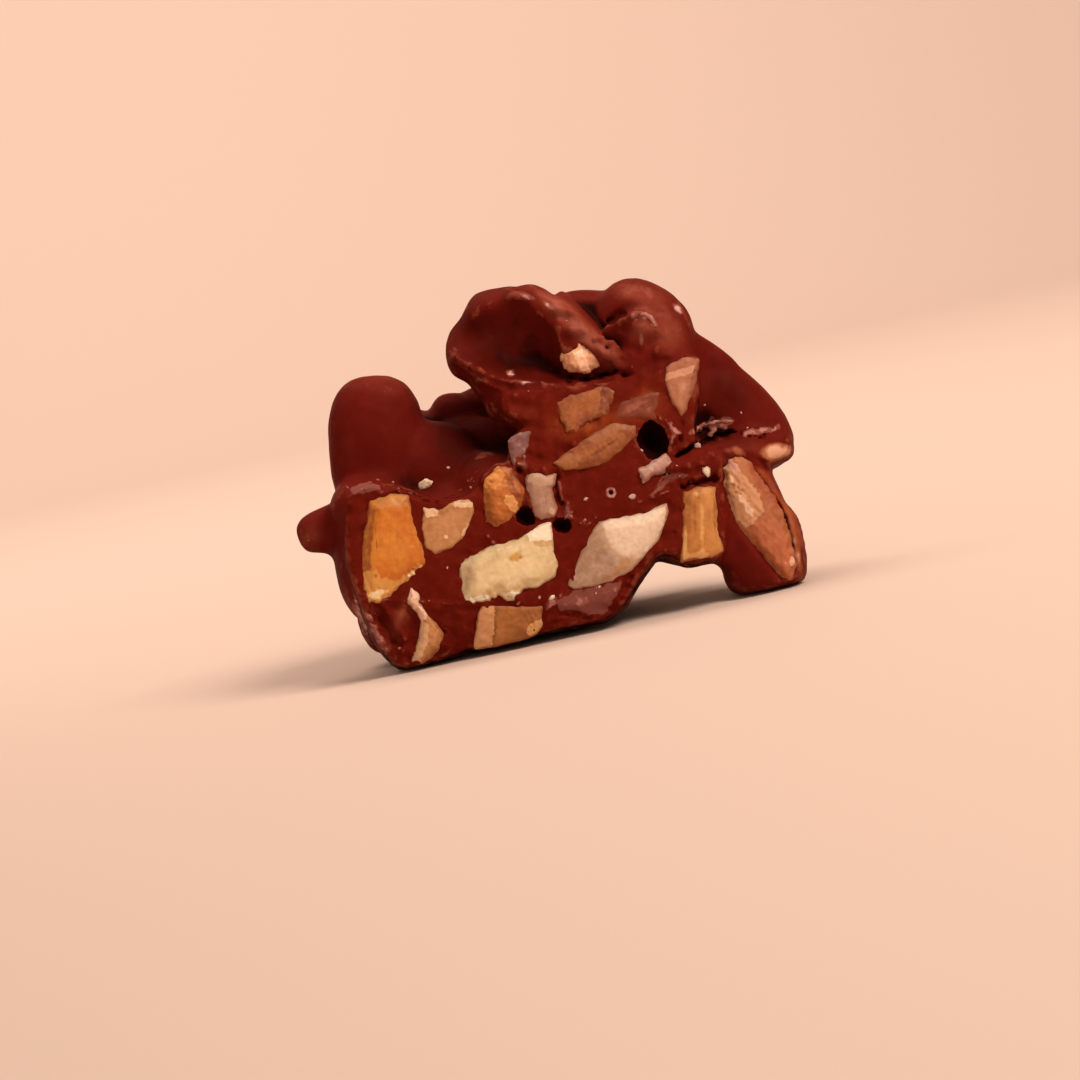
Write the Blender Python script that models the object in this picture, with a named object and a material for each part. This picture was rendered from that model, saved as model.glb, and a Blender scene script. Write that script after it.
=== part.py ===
"""Half of an almond rocher: whole and chopped almonds in milk chocolate, cut through with a knife.

The half is laid out square to its cut face: u to the right along the face, v up it and w into the food, in
millimetres. face_to_row() turns that layout onto the flat base that the sweet set on, with +X to the right,
the cut face towards -Y and +Z up. centre() then brings the origin under the middle of the sweet.
"""

import math
from typing import NamedTuple

import bmesh
import bpy
import numpy as np
from mathutils import Euler, Matrix, Vector

MM = 0.001
LEAN_DEG = 12.6  # the base runs this far uphill across the cut face
RECLINE_DEG = 5.0  # the cut face slopes back this far from upright
BASE_CORNER = Vector((-14.6, 0.0, 0.0))  # the face's lowest corner, which stands on the base

COATING = 0.35  # chocolate round every nut
COATING_VOXEL = 0.55  # the lumps melt into each other at about this scale
COATING_PASSES = 3
CHOCOLATE_TRIANGLES = 9000
LUMP_DETAIL = 3
POCKET_GAP = 0.3  # between an almond and the chocolate that it sits in
SHARP_DEG = 40.0  # edges sharper than this stay crisp
CHOP = (0.74, 0.9)  # how far out a chopped side lies, as shares of a lump's half size
SEED = 11


class Lump(NamedTuple):
    """One coated nut of the cluster."""

    name: str
    at: tuple  # u, v, w of its middle
    half: tuple  # half its length, height and depth
    turn: float = 0.0  # in the plane of the face, anticlockwise, in degrees
    swing: float = 0.0  # about v, in degrees
    roundness: float = 2.6  # 2 is an ellipsoid, 5 nearly a block
    facets: int = 0  # flat chops across a broken nut


class Nut(NamedTuple):
    """One bare piece of almond in the cut face."""

    name: str
    outline: tuple  # u, v points, anticlockwise
    depth: float  # how far it runs into the chocolate
    proud: float = 0.0  # how far its middle stands out of the face
    front: float = None  # w of its rim, where that isn't the cut face


# The lumps that show from the front, and then those that make the uncut back.
LUMPS = (
    Lump("heart_low", (-4.0, 12.9, 11.0), (14.2, 9.2, 9.5), 12.6, 0, 2.8),
    Lump("heart_high", (6.5, 24.0, 9.5), (8.5, 9.5, 6.5), -30, 0, 2.6),
    Lump("left_dome", (-17.8, 23.3, 9.6), (4.6, 7.0, 5.0), 2, 0, 2.7),
    Lump("left_lobe", (-11.6, 20.6, 9.6), (4.2, 4.9, 4.6), -8, 0, 2.5),
    Lump("saddle", (-6.8, 20.6, 15.6), (6.4, 5.6, 5.2), -4, 0, 2.6),
    Lump("valley", (-5.4, 18.6, 6.6), (4.4, 3.3, 4.8), -34, 0, 2.6),
    Lump("left_side", (-17.3, 12.2, 7.4), (4.4, 7.0, 6.2), 6, 0, 2.6),
    Lump("left_foot", (-13.0, 5.4, 7.0), (4.6, 5.0, 5.6), 12, 0, 2.6, 3),
    Lump("rim_bulge", (-18.6, 17.4, 4.7), (3.3, 2.2, 3.4), 8, 0, 2.5),
    Lump("left_knob", (-22.9, 14.7, 8.2), (2.7, 2.1, 2.6), 24, 0, 3.2, 3),
    Lump("back_nub", (-10.0, 26.8, 17.0), (2.1, 2.0, 3.0), 0, 0, 2.6),
    Lump("top_block", (-4.2, 34.8, 8.6), (4.5, 3.8, 5.4), 14, 0, 3.4, 2),
    Lump("block_brow", (-5.3, 37.8, 6.8), (2.8, 1.4, 1.9), 8, 0, 2.6),
    Lump("block_cheek", (-8.8, 33.0, 6.6), (1.4, 2.6, 2.2), 0, 0, 2.4),
    Lump("top_ridge", (0.9, 34.5, 6.4), (6.2, 2.5, 4.4), -41, 0, 4.2, 3),
    Lump("lip_left", (-4.2, 29.5, 7.0), (4.1, 2.7, 5.0), -38, 0, 2.4),
    Lump("lip", (0.4, 26.9, 5.2), (6.8, 2.4, 4.9), -4, 0, 2.4),
    Lump("back_crest", (4.4, 36.2, 11.8), (4.4, 2.9, 4.4), -4, 0, 2.8, 1),
    Lump("hump_top", (9.1, 35.7, 8.0), (4.4, 4.2, 5.0), -24, 0, 2.5),
    Lump("hump_cheek", (13.2, 35.6, 5.9), (1.0, 2.1, 2.0), 16, 0, 2.4),
    Lump("hump_side", (11.4, 31.2, 7.4), (3.7, 6.3, 5.0), 9, 0, 2.7),
    Lump("knob", (8.7, 33.5, 4.4), (2.0, 2.3, 3.0), 10, 0, 2.4),
    Lump("wing", (18.7, 27.1, 9.4), (7.3, 3.3, 4.8), -43, 8, 2.6),
    Lump("wing_shoulder", (16.4, 32.2, 8.0), (3.3, 1.2, 2.4), -38, 0, 2.5),
    Lump("wing_tip", (22.8, 23.1, 6.8), (1.8, 1.4, 3.0), 10, 0, 2.8),
    Lump("shelf", (17.0, 21.9, 7.0), (6.2, 2.2, 5.4), 14, 0, 2.8),
    Lump("slab", (21.0, 15.3, 5.4), (6.9, 3.1, 4.4), -71, 0, 3.0),
    Lump("slab_foot", (21.5, 10.9, 5.2), (3.7, 2.6, 4.1), 4, 0, 3.2, 2),
    Lump("slab_fin", (24.1, 12.8, 7.2), (1.2, 3.4, 2.8), 8, 0, 3.0),
    Lump("slab_edge", (24.5, 13.0, 3.6), (1.2, 3.9, 2.0), 10, 0, 2.8),
    Lump("gold_lobe", (14.8, 16.0, 5.2), (3.1, 4.6, 5.2), 3, 0, 3.6),
    Lump("back_almond_low", (-5.6, 7.4, 19.6), (9.4, 5.0, 4.8), 14, 10, 2.2, 1),
    Lump("back_almond_high", (2.6, 23.2, 18.4), (8.9, 4.9, 4.2), -34, -8, 2.2, 1),
    Lump("back_almond_side", (-15.2, 8.6, 13.6), (4.0, 6.8, 4.6), -14, 30, 2.2, 2),
    Lump("back_block_left", (-15.2, 16.4, 16.8), (4.0, 3.2, 3.8), 20, 15, 4.4, 5),
    Lump("back_block_mid", (-6.4, 15.6, 22.4), (4.6, 3.4, 3.2), -18, 10, 4.4, 5),
    Lump("back_block_dome", (-15.2, 24.0, 15.6), (3.4, 4.2, 3.8), 12, -10, 4.0, 5),
    Lump("back_block_top", (-1.6, 31.2, 14.6), (5.2, 3.8, 3.8), 14, 12, 4.2, 5),
    Lump("back_block_hump", (9.2, 30.4, 14.0), (4.0, 3.6, 3.8), -30, 0, 4.4, 5),
    Lump("back_almond_wing", (15.0, 23.8, 14.2), (6.9, 3.9, 3.6), -24, -22, 2.2, 1),
    Lump("back_block_shelf", (14.6, 18.0, 11.8), (4.4, 3.6, 4.2), 10, 20, 4.2, 4),
    Lump("back_block_right", (5.8, 13.2, 17.6), (3.8, 4.4, 4.2), 24, -20, 4.2, 5),
    Lump("back_block_low", (2.6, 9.4, 23.2), (4.4, 3.6, 3.6), -10, 12, 4.2, 5),
    Lump("back_block_foot", (0.6, 6.0, 15.0), (5.2, 3.6, 5.4), 14, 0, 3.6, 3),
    Lump("back_neck", (4.6, 29.6, 13.0), (5.4, 4.6, 4.4), -20, 0, 2.8, 2),
    Lump("back_chip", (-12.0, 11.6, 22.6), (3.2, 2.6, 2.6), 30, 0, 4.0, 4),
    Lump("back_chip_high", (9.4, 20.0, 20.4), (3.0, 2.8, 2.8), 12, 0, 4.4, 5),
    Lump("back_chip_top", (-7.6, 27.0, 19.0), (2.8, 2.4, 2.6), 32, 0, 4.0, 4),
)

# The slab of chocolate and nuts that the knife went through, as its outline in the face.
HEART_OUTLINE = (
    (-14.6, 0.0), (-6.7, 2.8), (-0.5, 4.0), (5.7, 5.4), (7.9, 6.9), (9.2, 9.4), (11.4, 12.7),
    (12.4, 11.6), (13.8, 10.7), (17.0, 11.4), (17.2, 22.0), (14.4, 23.0), (15.1, 28.2), (14.8, 32.0),
    (9.0, 30.2), (2.0, 28.6), (-1.4, 25.6), (-3.2, 22.8), (-5.0, 20.9), (-6.6, 19.2), (-8.4, 17.9),
    (-12.0, 17.7), (-15.2, 19.2), (-18.0, 19.4), (-20.2, 18.0), (-20.6, 12.0), (-19.2, 8.0),
    (-18.4, 3.8), (-17.2, 2.0), (-15.7, 0.5),
)  # fmt: skip
HEART_DEPTH = 11.0
HEART_FRONT = -3.0  # it runs on in front of the face, for the knife to cut
HEART_WAIST = 0.5  # it keeps its full outline down to this share of its depth
HEART_BACK = 0.8  # and ends at this share of its size

# Each stroke of the knife as where it meets the face's plane and how it leans: w >= slope * (v - start).
FOOT_TOP = 7.3  # the foot of the face is broken back below a ridge at this height
HEAD_FOOT = 21.0  # the head of the face is smeared back above this height
CUTS = ((0.0, 0.0), (FOOT_TOP, -0.36), (HEAD_FOOT, 0.15))
KNIFE_NEAR = -40.0  # w where the air in front of the knife ends
KNIFE_HEIGHTS = (-30.0, FOOT_TOP, HEAD_FOOT, 80.0)
KNIFE_HALF_WIDTH = 60.0
FLOOR_SIDE = 200.0

AIR_HOLES = (  # u, v, radius and depth of bubbles that the knife opened
    (10.2, 24.0, 1.35, 4.0),
    (-2.5, 16.2, 0.62, 2.2),
    (1.3, 15.2, 0.55, 2.0),
)
HOLE_PROFILE = (  # shares of a bubble's radius and depth, from its mouth inwards
    (0.9, -1.5), (0.9, 0.0), (1.05, 0.35), (0.8, 0.8), (0.35, 1.0),
)  # fmt: skip
HOLE_SIDES = 10

# The shape of an almond piece: its proud middle, its rim, its waist and its blunt inner end.
PROUD_SHARE = 0.8
RIM_DEPTH = 0.12
WAIST_SHARE = 0.96
WAIST_DEPTH = 0.6  # as a share of the piece's depth
END_SHARE = 0.6
POCKET_FRONT = -6.0  # its pocket starts this far in front

NUTS = (
    Nut("almond_amber", (
        (-18.2, 7.5), (-16.8, 7.9), (-14.6, 9.9), (-12.9, 11.1), (-12.6, 12.2), (-14.0, 16.6),
        (-14.4, 18.0), (-15.6, 18.1), (-18.0, 17.2), (-18.7, 14.4), (-18.8, 10.8)), 6.0, 0.45),
    Nut("almond_tan", (
        (-11.5, 12.5), (-9.8, 13.1), (-8.8, 14.2), (-8.0, 15.7), (-7.8, 17.3), (-9.3, 17.3),
        (-10.8, 16.8), (-12.4, 16.0), (-12.6, 14.7), (-12.2, 13.0)), 4.0),
    Nut("almond_gold", (
        (-6.1, 15.6), (-5.2, 15.3), (-4.0, 16.0), (-2.8, 17.7), (-3.0, 19.2), (-4.2, 20.7),
        (-5.3, 21.0), (-6.3, 19.6), (-6.6, 17.4)), 4.5, 0.5),
    Nut("almond_pale", (
        (-1.3, 16.2), (0.3, 16.2), (0.5, 17.0), (0.0, 19.0), (0.4, 20.1), (-1.0, 20.4),
        (-2.0, 20.5), (-2.2, 19.6), (-1.9, 17.8)), 3.5),
    Nut("almond_ivory", (
        (-8.7, 8.2), (-7.7, 7.7), (-6.2, 8.0), (-5.0, 8.6), (-4.1, 8.1), (-3.1, 8.4), (-2.3, 9.2),
        (-0.7, 9.4), (0.6, 10.7), (0.4, 13.6), (-0.1, 15.1), (-1.8, 14.8), (-3.2, 13.8),
        (-6.0, 12.8), (-8.9, 11.6)), 6.5),
    Nut("almond_white", (
        (1.9, 9.2), (2.4, 8.9), (4.5, 9.2), (6.3, 9.7), (8.1, 10.8), (9.5, 12.3), (10.7, 13.7),
        (11.4, 15.2), (11.7, 16.5), (11.6, 17.2), (9.2, 16.3), (6.0, 15.8), (5.0, 15.4),
        (4.0, 14.1), (2.7, 11.3)), 6.5),
    Nut("almond_ochre", (
        (13.1, 11.9), (14.8, 11.9), (16.4, 12.4), (16.8, 13.6), (16.3, 16.0), (16.2, 18.8),
        (14.6, 18.9), (13.6, 18.6), (13.2, 15.2)), 5.0, 0.2),
    Nut("almond_lens", (
        (1.4, 20.8), (3.2, 20.9), (5.7, 22.2), (7.6, 23.2), (8.5, 24.6), (7.2, 25.4), (5.4, 25.2),
        (3.2, 23.4), (0.9, 21.8)), 4.0, 0.15),
    Nut("almond_honey", (
        (2.0, 25.0), (3.0, 24.9), (4.4, 25.8), (5.6, 26.4), (6.3, 28.4), (3.4, 28.0), (1.1, 27.2),
        (1.1, 25.8)), 4.0),
    Nut("almond_veil", (
        (8.4, 26.0), (10.4, 25.9), (10.8, 28.4), (8.8, 27.9), (7.4, 26.8)), 2.5),
    Nut("almond_beige", (
        (12.3, 26.5), (12.9, 26.5), (13.9, 29.0), (14.2, 31.6), (12.9, 31.6), (11.8, 31.2),
        (11.8, 28.6)), 4.0),
    Nut("almond_chip", (
        (9.3, 19.7), (10.4, 20.3), (12.0, 20.9), (11.5, 22.0), (10.3, 21.3), (9.1, 20.6)), 1.8),
    Nut("almond_shard", (
        (-3.5, 21.5), (-3.0, 21.9), (-2.3, 23.2), (-2.3, 24.3), (-3.9, 23.7), (-3.8, 22.5)),
        1.6, 0.0, 0.4),
    Nut("almond_tip", (
        (1.3, 30.9), (2.8, 30.6), (4.2, 30.9), (4.7, 31.8), (4.2, 33.0), (3.2, 33.6), (2.2, 33.5),
        (1.4, 32.6)), 4.0, 0.6, 2.6),
    Nut("almond_sliver", (
        (-13.4, 1.9), (-12.3, 2.1), (-11.3, 2.9), (-11.0, 4.3), (-12.0, 5.6), (-13.2, 7.4),
        (-13.8, 8.5), (-14.1, 7.8), (-12.9, 5.8), (-13.1, 3.6)), 3.5),
    Nut("almond_straw", (
        (-7.3, 2.9), (-5.4, 3.2), (-2.6, 3.9), (-1.2, 4.6), (-0.9, 5.6), (-1.0, 6.6), (-4.0, 6.7),
        (-6.8, 6.7), (-7.2, 4.8)), 4.5),
    Nut("almond_skin", (
        (23.4, 9.8), (24.2, 10.0), (24.5, 11.2), (23.7, 14.2), (22.9, 16.6), (20.9, 20.2),
        (19.8, 21.6), (18.1, 21.8), (17.5, 20.8), (17.5, 19.4), (18.1, 17.0), (18.9, 15.1),
        (20.8, 12.9), (22.2, 11.2)), 3.0, 0.5, 1.6),
)

CHOCOLATE_COLOUR = (0.135, 0.030, 0.018)
NUT_COLOURS = {
    "almond_amber": (0.72, 0.26, 0.05),
    "almond_tan": (0.56, 0.30, 0.14),
    "almond_gold": (0.66, 0.29, 0.07),
    "almond_pale": (0.52, 0.40, 0.29),
    "almond_ivory": (0.74, 0.62, 0.34),
    "almond_white": (0.70, 0.57, 0.40),
    "almond_ochre": (0.58, 0.31, 0.10),
    "almond_lens": (0.50, 0.24, 0.09),
    "almond_honey": (0.55, 0.26, 0.08),
    "almond_veil": (0.33, 0.13, 0.08),
    "almond_beige": (0.57, 0.30, 0.17),
    "almond_chip": (0.55, 0.36, 0.26),
    "almond_shard": (0.42, 0.27, 0.22),
    "almond_tip": (0.74, 0.49, 0.26),
    "almond_sliver": (0.58, 0.36, 0.17),
    "almond_straw": (0.52, 0.31, 0.11),
    "almond_skin": (0.40, 0.20, 0.10),
}


def clear_scene():
    for obj in list(bpy.data.objects):
        bpy.data.objects.remove(obj, do_unlink=True)


def face_to_row():
    """The matrix from the layout's u, v, w in millimetres to X, Y, Z in metres, with the base at z = 0."""
    lean, recline = math.radians(LEAN_DEG), math.radians(RECLINE_DEG)
    across = Vector((1.0, 0.0, 0.0))
    up = Vector((0.0, math.sin(recline), math.cos(recline)))
    into = Vector((0.0, math.cos(recline), -math.sin(recline)))
    along_u = math.cos(lean) * across - math.sin(lean) * up
    along_v = math.sin(lean) * across + math.cos(lean) * up
    turned = Matrix((along_u, along_v, into)).transposed()
    foot = turned @ BASE_CORNER
    moved = Matrix.Translation((0.0, 0.0, -foot.z)) @ turned.to_4x4()
    return Matrix.Scale(MM, 4) @ moved


def material(name, colour, roughness):
    made = bpy.data.materials.new(name)
    made.use_nodes = True
    shader = made.node_tree.nodes["Principled BSDF"]
    shader.inputs["Base Color"].default_value = (*colour, 1.0)
    shader.inputs["Roughness"].default_value = roughness
    return made


def object_from(name, bm, collection=None):
    """A named object whose mesh is this bmesh."""
    bmesh.ops.recalc_face_normals(bm, faces=bm.faces)
    mesh = bpy.data.meshes.new(name)
    bm.to_mesh(mesh)
    bm.free()
    made = bpy.data.objects.new(name, mesh)
    (collection or bpy.context.scene.collection).objects.link(made)
    return made


def lump_object(lump, to_row, dice, collection):
    """A rounded block: a sphere pushed out to |x|^n + |y|^n + |z|^n = 1, then chopped flat on a few sides."""
    bm = bmesh.new()
    bmesh.ops.create_icosphere(bm, subdivisions=LUMP_DETAIL, radius=1.0)
    ways = np.array([vertex.co for vertex in bm.verts])
    ways /= np.linalg.norm(ways, axis=1, keepdims=True)
    reach = (np.abs(ways) ** lump.roundness).sum(axis=1) ** (-1.0 / lump.roundness)
    for _ in range(lump.facets):
        normal = dice.normal(size=3)
        normal /= np.linalg.norm(normal)
        towards = ways @ normal
        chop = dice.uniform(*CHOP)
        reach = np.where(towards > 0.05, np.minimum(reach, chop / np.maximum(towards, 0.05)), reach)
    turned = Euler((0.0, math.radians(lump.swing), math.radians(lump.turn))).to_matrix()
    half = np.array(lump.half) + COATING
    for vertex, point in zip(bm.verts, ways * reach[:, None] * half, strict=True):
        vertex.co = to_row @ (turned @ Vector(point) + Vector(lump.at))
    return object_from(lump.name, bm, collection)


def loft(rings, to_row):
    """A closed bmesh through rings of equally many u, v, w points, with its first and last ring filled."""
    bm = bmesh.new()
    loops = [[bm.verts.new(to_row @ Vector(point)) for point in ring] for ring in rings]
    count = len(loops[0])
    for near, far in zip(loops, loops[1:], strict=False):
        for i in range(count):
            j = (i + 1) % count
            bm.faces.new((near[i], near[j], far[j], far[i]))
    caps = [bm.faces.new(loops[0][::-1]), bm.faces.new(loops[-1])]
    bmesh.ops.triangulate(bm, faces=caps)
    return bm


def cut_depth(v):
    """w of the cut face at height v: the deepest stroke of the knife there."""
    return max(slope * (v - start) for start, slope in CUTS)


def widened(outline, by):
    """The outline moved outwards, each point along the mean of its two sides' normals."""
    points = np.array(outline)
    before, after = points - np.roll(points, 1, axis=0), np.roll(points, -1, axis=0) - points
    normals = []
    for side in (before, after):
        side = side / np.linalg.norm(side, axis=1, keepdims=True)
        normals.append(np.stack([side[:, 1], -side[:, 0]], axis=1))
    mean = normals[0] + normals[1]
    mean /= np.linalg.norm(mean, axis=1, keepdims=True)
    opening = np.maximum((mean * normals[0]).sum(axis=1), 0.6)
    return points + mean * (by / opening)[:, None]


def shrunk(points, share):
    middle = points.mean(axis=0)
    return middle + (points - middle) * share


def nut_rings(nut, gap=0.0):
    """The rings of an almond piece, from its front to its inner end, or of its pocket when gap is set."""
    rim = widened(nut.outline, gap)

    def depth_at(point):
        return cut_depth(point[1]) if nut.front is None else nut.front

    def ring(points, w):
        return [(u, v, depth_at((u, v)) + w) for u, v in points]

    if gap:
        front = [ring(rim, POCKET_FRONT)]
    elif nut.proud:
        front = [ring(shrunk(rim, PROUD_SHARE), -nut.proud), ring(rim, RIM_DEPTH)]
    else:
        front = [ring(rim, 0.0)]
    waist = ring(shrunk(rim, WAIST_SHARE), nut.depth * WAIST_DEPTH + gap)
    return [*front, waist, ring(shrunk(rim, END_SHARE), nut.depth + gap)]


def applied(obj):
    """The object with its modifiers baked into its mesh."""
    graph = bpy.context.evaluated_depsgraph_get()
    obj.data = bpy.data.meshes.new_from_object(obj.evaluated_get(graph))
    obj.modifiers.clear()
    return obj


def boolean(obj, other, operation, solver="EXACT"):
    modifier = obj.modifiers.new(operation.lower(), "BOOLEAN")
    modifier.operation = operation
    modifier.solver = solver
    if isinstance(other, bpy.types.Collection):
        modifier.operand_type = "COLLECTION"
        modifier.collection = other
    else:
        modifier.object = other
    return modifier


def cluster(to_row):
    """The lumps and the heart, fused and melted into one coated mass."""
    dice = np.random.default_rng(SEED)
    lumps = bpy.data.collections.new("lumps")
    bpy.context.scene.collection.children.link(lumps)
    for lump in LUMPS:
        lump_object(lump, to_row, dice, lumps)
    outline = np.array(HEART_OUTLINE)
    rings = [[(u, v, w) for u, v in outline] for w in (HEART_FRONT, HEART_DEPTH * HEART_WAIST)]
    rings.append([(u, v, HEART_DEPTH) for u, v in shrunk(outline, HEART_BACK)])
    mass = object_from("chocolate", loft(rings, to_row))
    boolean(mass, lumps, "UNION", "MANIFOLD")
    applied(mass)
    for lump in list(lumps.objects):
        bpy.data.objects.remove(lump, do_unlink=True)
    bpy.data.collections.remove(lumps)
    melt = mass.modifiers.new("melt", "REMESH")
    melt.mode = "VOXEL"
    melt.voxel_size = COATING_VOXEL * MM
    soften = mass.modifiers.new("soften", "SMOOTH")
    soften.factor = 0.5
    soften.iterations = COATING_PASSES
    applied(mass)
    thin = mass.modifiers.new("thin", "DECIMATE")
    thin.ratio = min(1.0, CHOCOLATE_TRIANGLES / (2 * len(mass.data.polygons)))
    return applied(mass)


def knife(to_row):
    """The wedge of air in front of every stroke of the knife, closed far in front of the food."""
    low, high = KNIFE_HEIGHTS[0], KNIFE_HEIGHTS[-1]
    rings = []
    for u in (-KNIFE_HALF_WIDTH, KNIFE_HALF_WIDTH):
        ring = [(u, v, cut_depth(v)) for v in KNIFE_HEIGHTS]
        rings.append([*ring, (u, high, KNIFE_NEAR), (u, low, KNIFE_NEAR)])
    return object_from("knife", loft(rings, to_row))


def floor_block():
    """What would lie under the base."""
    bm = bmesh.new()
    side = FLOOR_SIDE * MM
    bmesh.ops.create_cube(bm, size=side, matrix=Matrix.Translation((0.0, 0.0, -side / 2)))
    return object_from("floor_block", bm)


def air_hole(number, u, v, radius, depth, to_row):
    """A bubble with a narrow mouth: a turned profile, closed at both ends."""
    front = cut_depth(v)
    turns = np.linspace(0.0, 2 * math.pi, HOLE_SIDES, endpoint=False)
    around = radius * np.stack([np.cos(turns), np.sin(turns)], axis=1)
    rings = []
    for wide, deep in HOLE_PROFILE:
        rings.append([(u + wide * du, v + wide * dv, front + depth * deep) for du, dv in around])
    return object_from(f"air_hole_{number}", loft(rings, to_row))


def carve(mass, cutters):
    """Cuts every cutter out of the mass in turn, and removes them."""
    for cutter in cutters:
        boolean(mass, cutter, "DIFFERENCE")
        applied(mass)
        bpy.data.objects.remove(cutter, do_unlink=True)
    return mass


def largest_body(obj):
    """Drops the loose scraps that cutting left."""
    bm = bmesh.new()
    bm.from_mesh(obj.data)
    left = set(bm.verts)
    bodies = []
    while left:
        body, edge = set(), [left.pop()]
        while edge:
            vertex = edge.pop()
            body.add(vertex)
            for link in vertex.link_edges:
                other = link.other_vert(vertex)
                if other in left:
                    left.remove(other)
                    edge.append(other)
        bodies.append(body)
    bodies.sort(key=len)
    for scrap in bodies[:-1]:
        bmesh.ops.delete(bm, geom=list(scrap), context="VERTS")
    bm.to_mesh(obj.data)
    bm.free()


def finish(obj, surface):
    """Gives the whole object one material and soft edges."""
    obj.data.materials.clear()
    obj.data.materials.append(surface)
    obj.data.shade_smooth()
    obj.data.set_sharp_from_angle(angle=math.radians(SHARP_DEG))


def centre(pieces):
    """Moves every piece sideways alike, so that the origin is under the middle of them all."""
    corners = np.array([vertex.co for piece in pieces for vertex in piece.data.vertices])
    middle = (corners.min(axis=0) + corners.max(axis=0)) / 2
    for piece in pieces:
        piece.data.transform(Matrix.Translation((-middle[0], -middle[1], 0.0)))


def main():
    clear_scene()
    to_row = face_to_row()
    mass = cluster(to_row)
    cutters = [floor_block(), knife(to_row)]
    cutters += [object_from(f"pocket_{nut.name}", loft(nut_rings(nut, POCKET_GAP), to_row)) for nut in NUTS]
    cutters += [air_hole(i, *hole, to_row) for i, hole in enumerate(AIR_HOLES)]
    carve(mass, cutters)
    largest_body(mass)
    finish(mass, material("milk_chocolate", CHOCOLATE_COLOUR, 0.42))
    pieces = [mass]
    for nut in NUTS:
        piece = object_from(nut.name, loft(nut_rings(nut), to_row))
        finish(piece, material(nut.name, NUT_COLOURS[nut.name], 0.6))
        pieces.append(piece)
    centre(pieces)


main()
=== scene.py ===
"""Half of an almond rocher: whole and chopped almonds bound in milk chocolate, cut through with a knife.

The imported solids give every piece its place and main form. This script remakes them as fine surfaces. Each
surface is the zero level of a field, a whole numpy array that is negative inside the food, and the fields are
added, cut and roughened before they become meshes. All fields are worked out square to the cut face: u runs
right along it, v up it and w into the food, in millimetres.
"""

import logging
import math
from dataclasses import dataclass
from enum import Enum

import bmesh
import bpy
import numpy as np
import openvdb as vdb
from mathutils import Matrix, Vector

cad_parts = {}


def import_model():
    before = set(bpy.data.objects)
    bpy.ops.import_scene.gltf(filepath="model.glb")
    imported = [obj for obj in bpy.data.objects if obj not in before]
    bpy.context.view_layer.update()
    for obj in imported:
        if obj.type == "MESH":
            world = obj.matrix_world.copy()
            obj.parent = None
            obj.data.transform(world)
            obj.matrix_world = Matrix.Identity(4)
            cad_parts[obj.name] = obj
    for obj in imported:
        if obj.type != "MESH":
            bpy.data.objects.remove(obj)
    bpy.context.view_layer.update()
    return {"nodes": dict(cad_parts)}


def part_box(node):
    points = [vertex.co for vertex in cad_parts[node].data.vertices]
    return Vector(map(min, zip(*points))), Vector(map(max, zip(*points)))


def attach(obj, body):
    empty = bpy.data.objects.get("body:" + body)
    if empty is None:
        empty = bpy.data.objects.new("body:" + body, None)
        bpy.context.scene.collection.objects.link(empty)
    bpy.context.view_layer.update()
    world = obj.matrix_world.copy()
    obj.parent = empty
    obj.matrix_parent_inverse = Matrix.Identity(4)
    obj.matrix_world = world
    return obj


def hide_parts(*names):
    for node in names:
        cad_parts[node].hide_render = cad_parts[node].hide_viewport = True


LOG = logging.getLogger("rocher")
MM = 0.001

Array = np.ndarray
Point2 = tuple[float, float]
Point3 = tuple[float, float, float]

# Spacing of the points that the fields are worked out on, in millimetres.
FINE_STEP = 0.2
NUT_STEP = 0.13


# ----------------------------------------------------------------------------
# The layout of the cut face
# ----------------------------------------------------------------------------
@dataclass(frozen=True)
class FaceLayout:
    """How the layout of the cut face lies in the row: it leans with the base and reclines from upright."""

    lean_deg: float = 12.6
    recline_deg: float = 5.0
    corner: Point3 = (-14.6, 0.0, 0.0)  # the face's lowest corner, which stands on the base
    shift: Point2 = (0.0, 0.0)  # X and Y from the layout's origin to the row's, in metres

    def turn(self) -> Array:
        """The 3 by 3 matrix whose columns are the row's directions of u, v and w."""
        lean, recline = math.radians(self.lean_deg), math.radians(self.recline_deg)
        across = np.array([1.0, 0.0, 0.0])
        up = np.array([0.0, math.sin(recline), math.cos(recline)])
        into = np.array([0.0, math.cos(recline), -math.sin(recline)])
        along_u = math.cos(lean) * across - math.sin(lean) * up
        along_v = math.sin(lean) * across + math.cos(lean) * up
        return np.stack([along_u, along_v, into], axis=1)

    def offset(self) -> Array:
        """What is added, in metres, after the turn: the base comes to z = 0 and the middle to the origin."""
        foot = self.turn() @ np.array(self.corner) * MM
        return np.array([self.shift[0], self.shift[1], -foot[2]])

    def to_row(self, points: Array) -> Array:
        """Takes n by 3 layout points in millimetres to the row, in metres: turn times point, plus offset."""
        return np.asarray(points) @ self.turn().T * MM + self.offset()

    def from_row(self, points: Array) -> Array:
        """Takes n by 3 row points in metres back to the layout, in millimetres."""
        return (np.asarray(points) - self.offset()) @ self.turn() / MM


@dataclass(frozen=True)
class Stroke:
    """One stroke of the knife: it leaves the food behind w = slope times (v - start)."""

    start: float
    slope: float


STROKES = (
    Stroke(0.0, 0.0),  # the main cut
    Stroke(7.3, -0.36),  # the foot of the face, broken back below a ridge
    Stroke(21.0, 0.15),  # the head of the face, smeared back above the middle
)


def cut_depth(v: Array) -> Array:
    """w of the cut face at height v: the deepest stroke of the knife there."""
    return np.max([stroke.slope * (v - stroke.start) for stroke in STROKES], axis=0)


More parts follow.
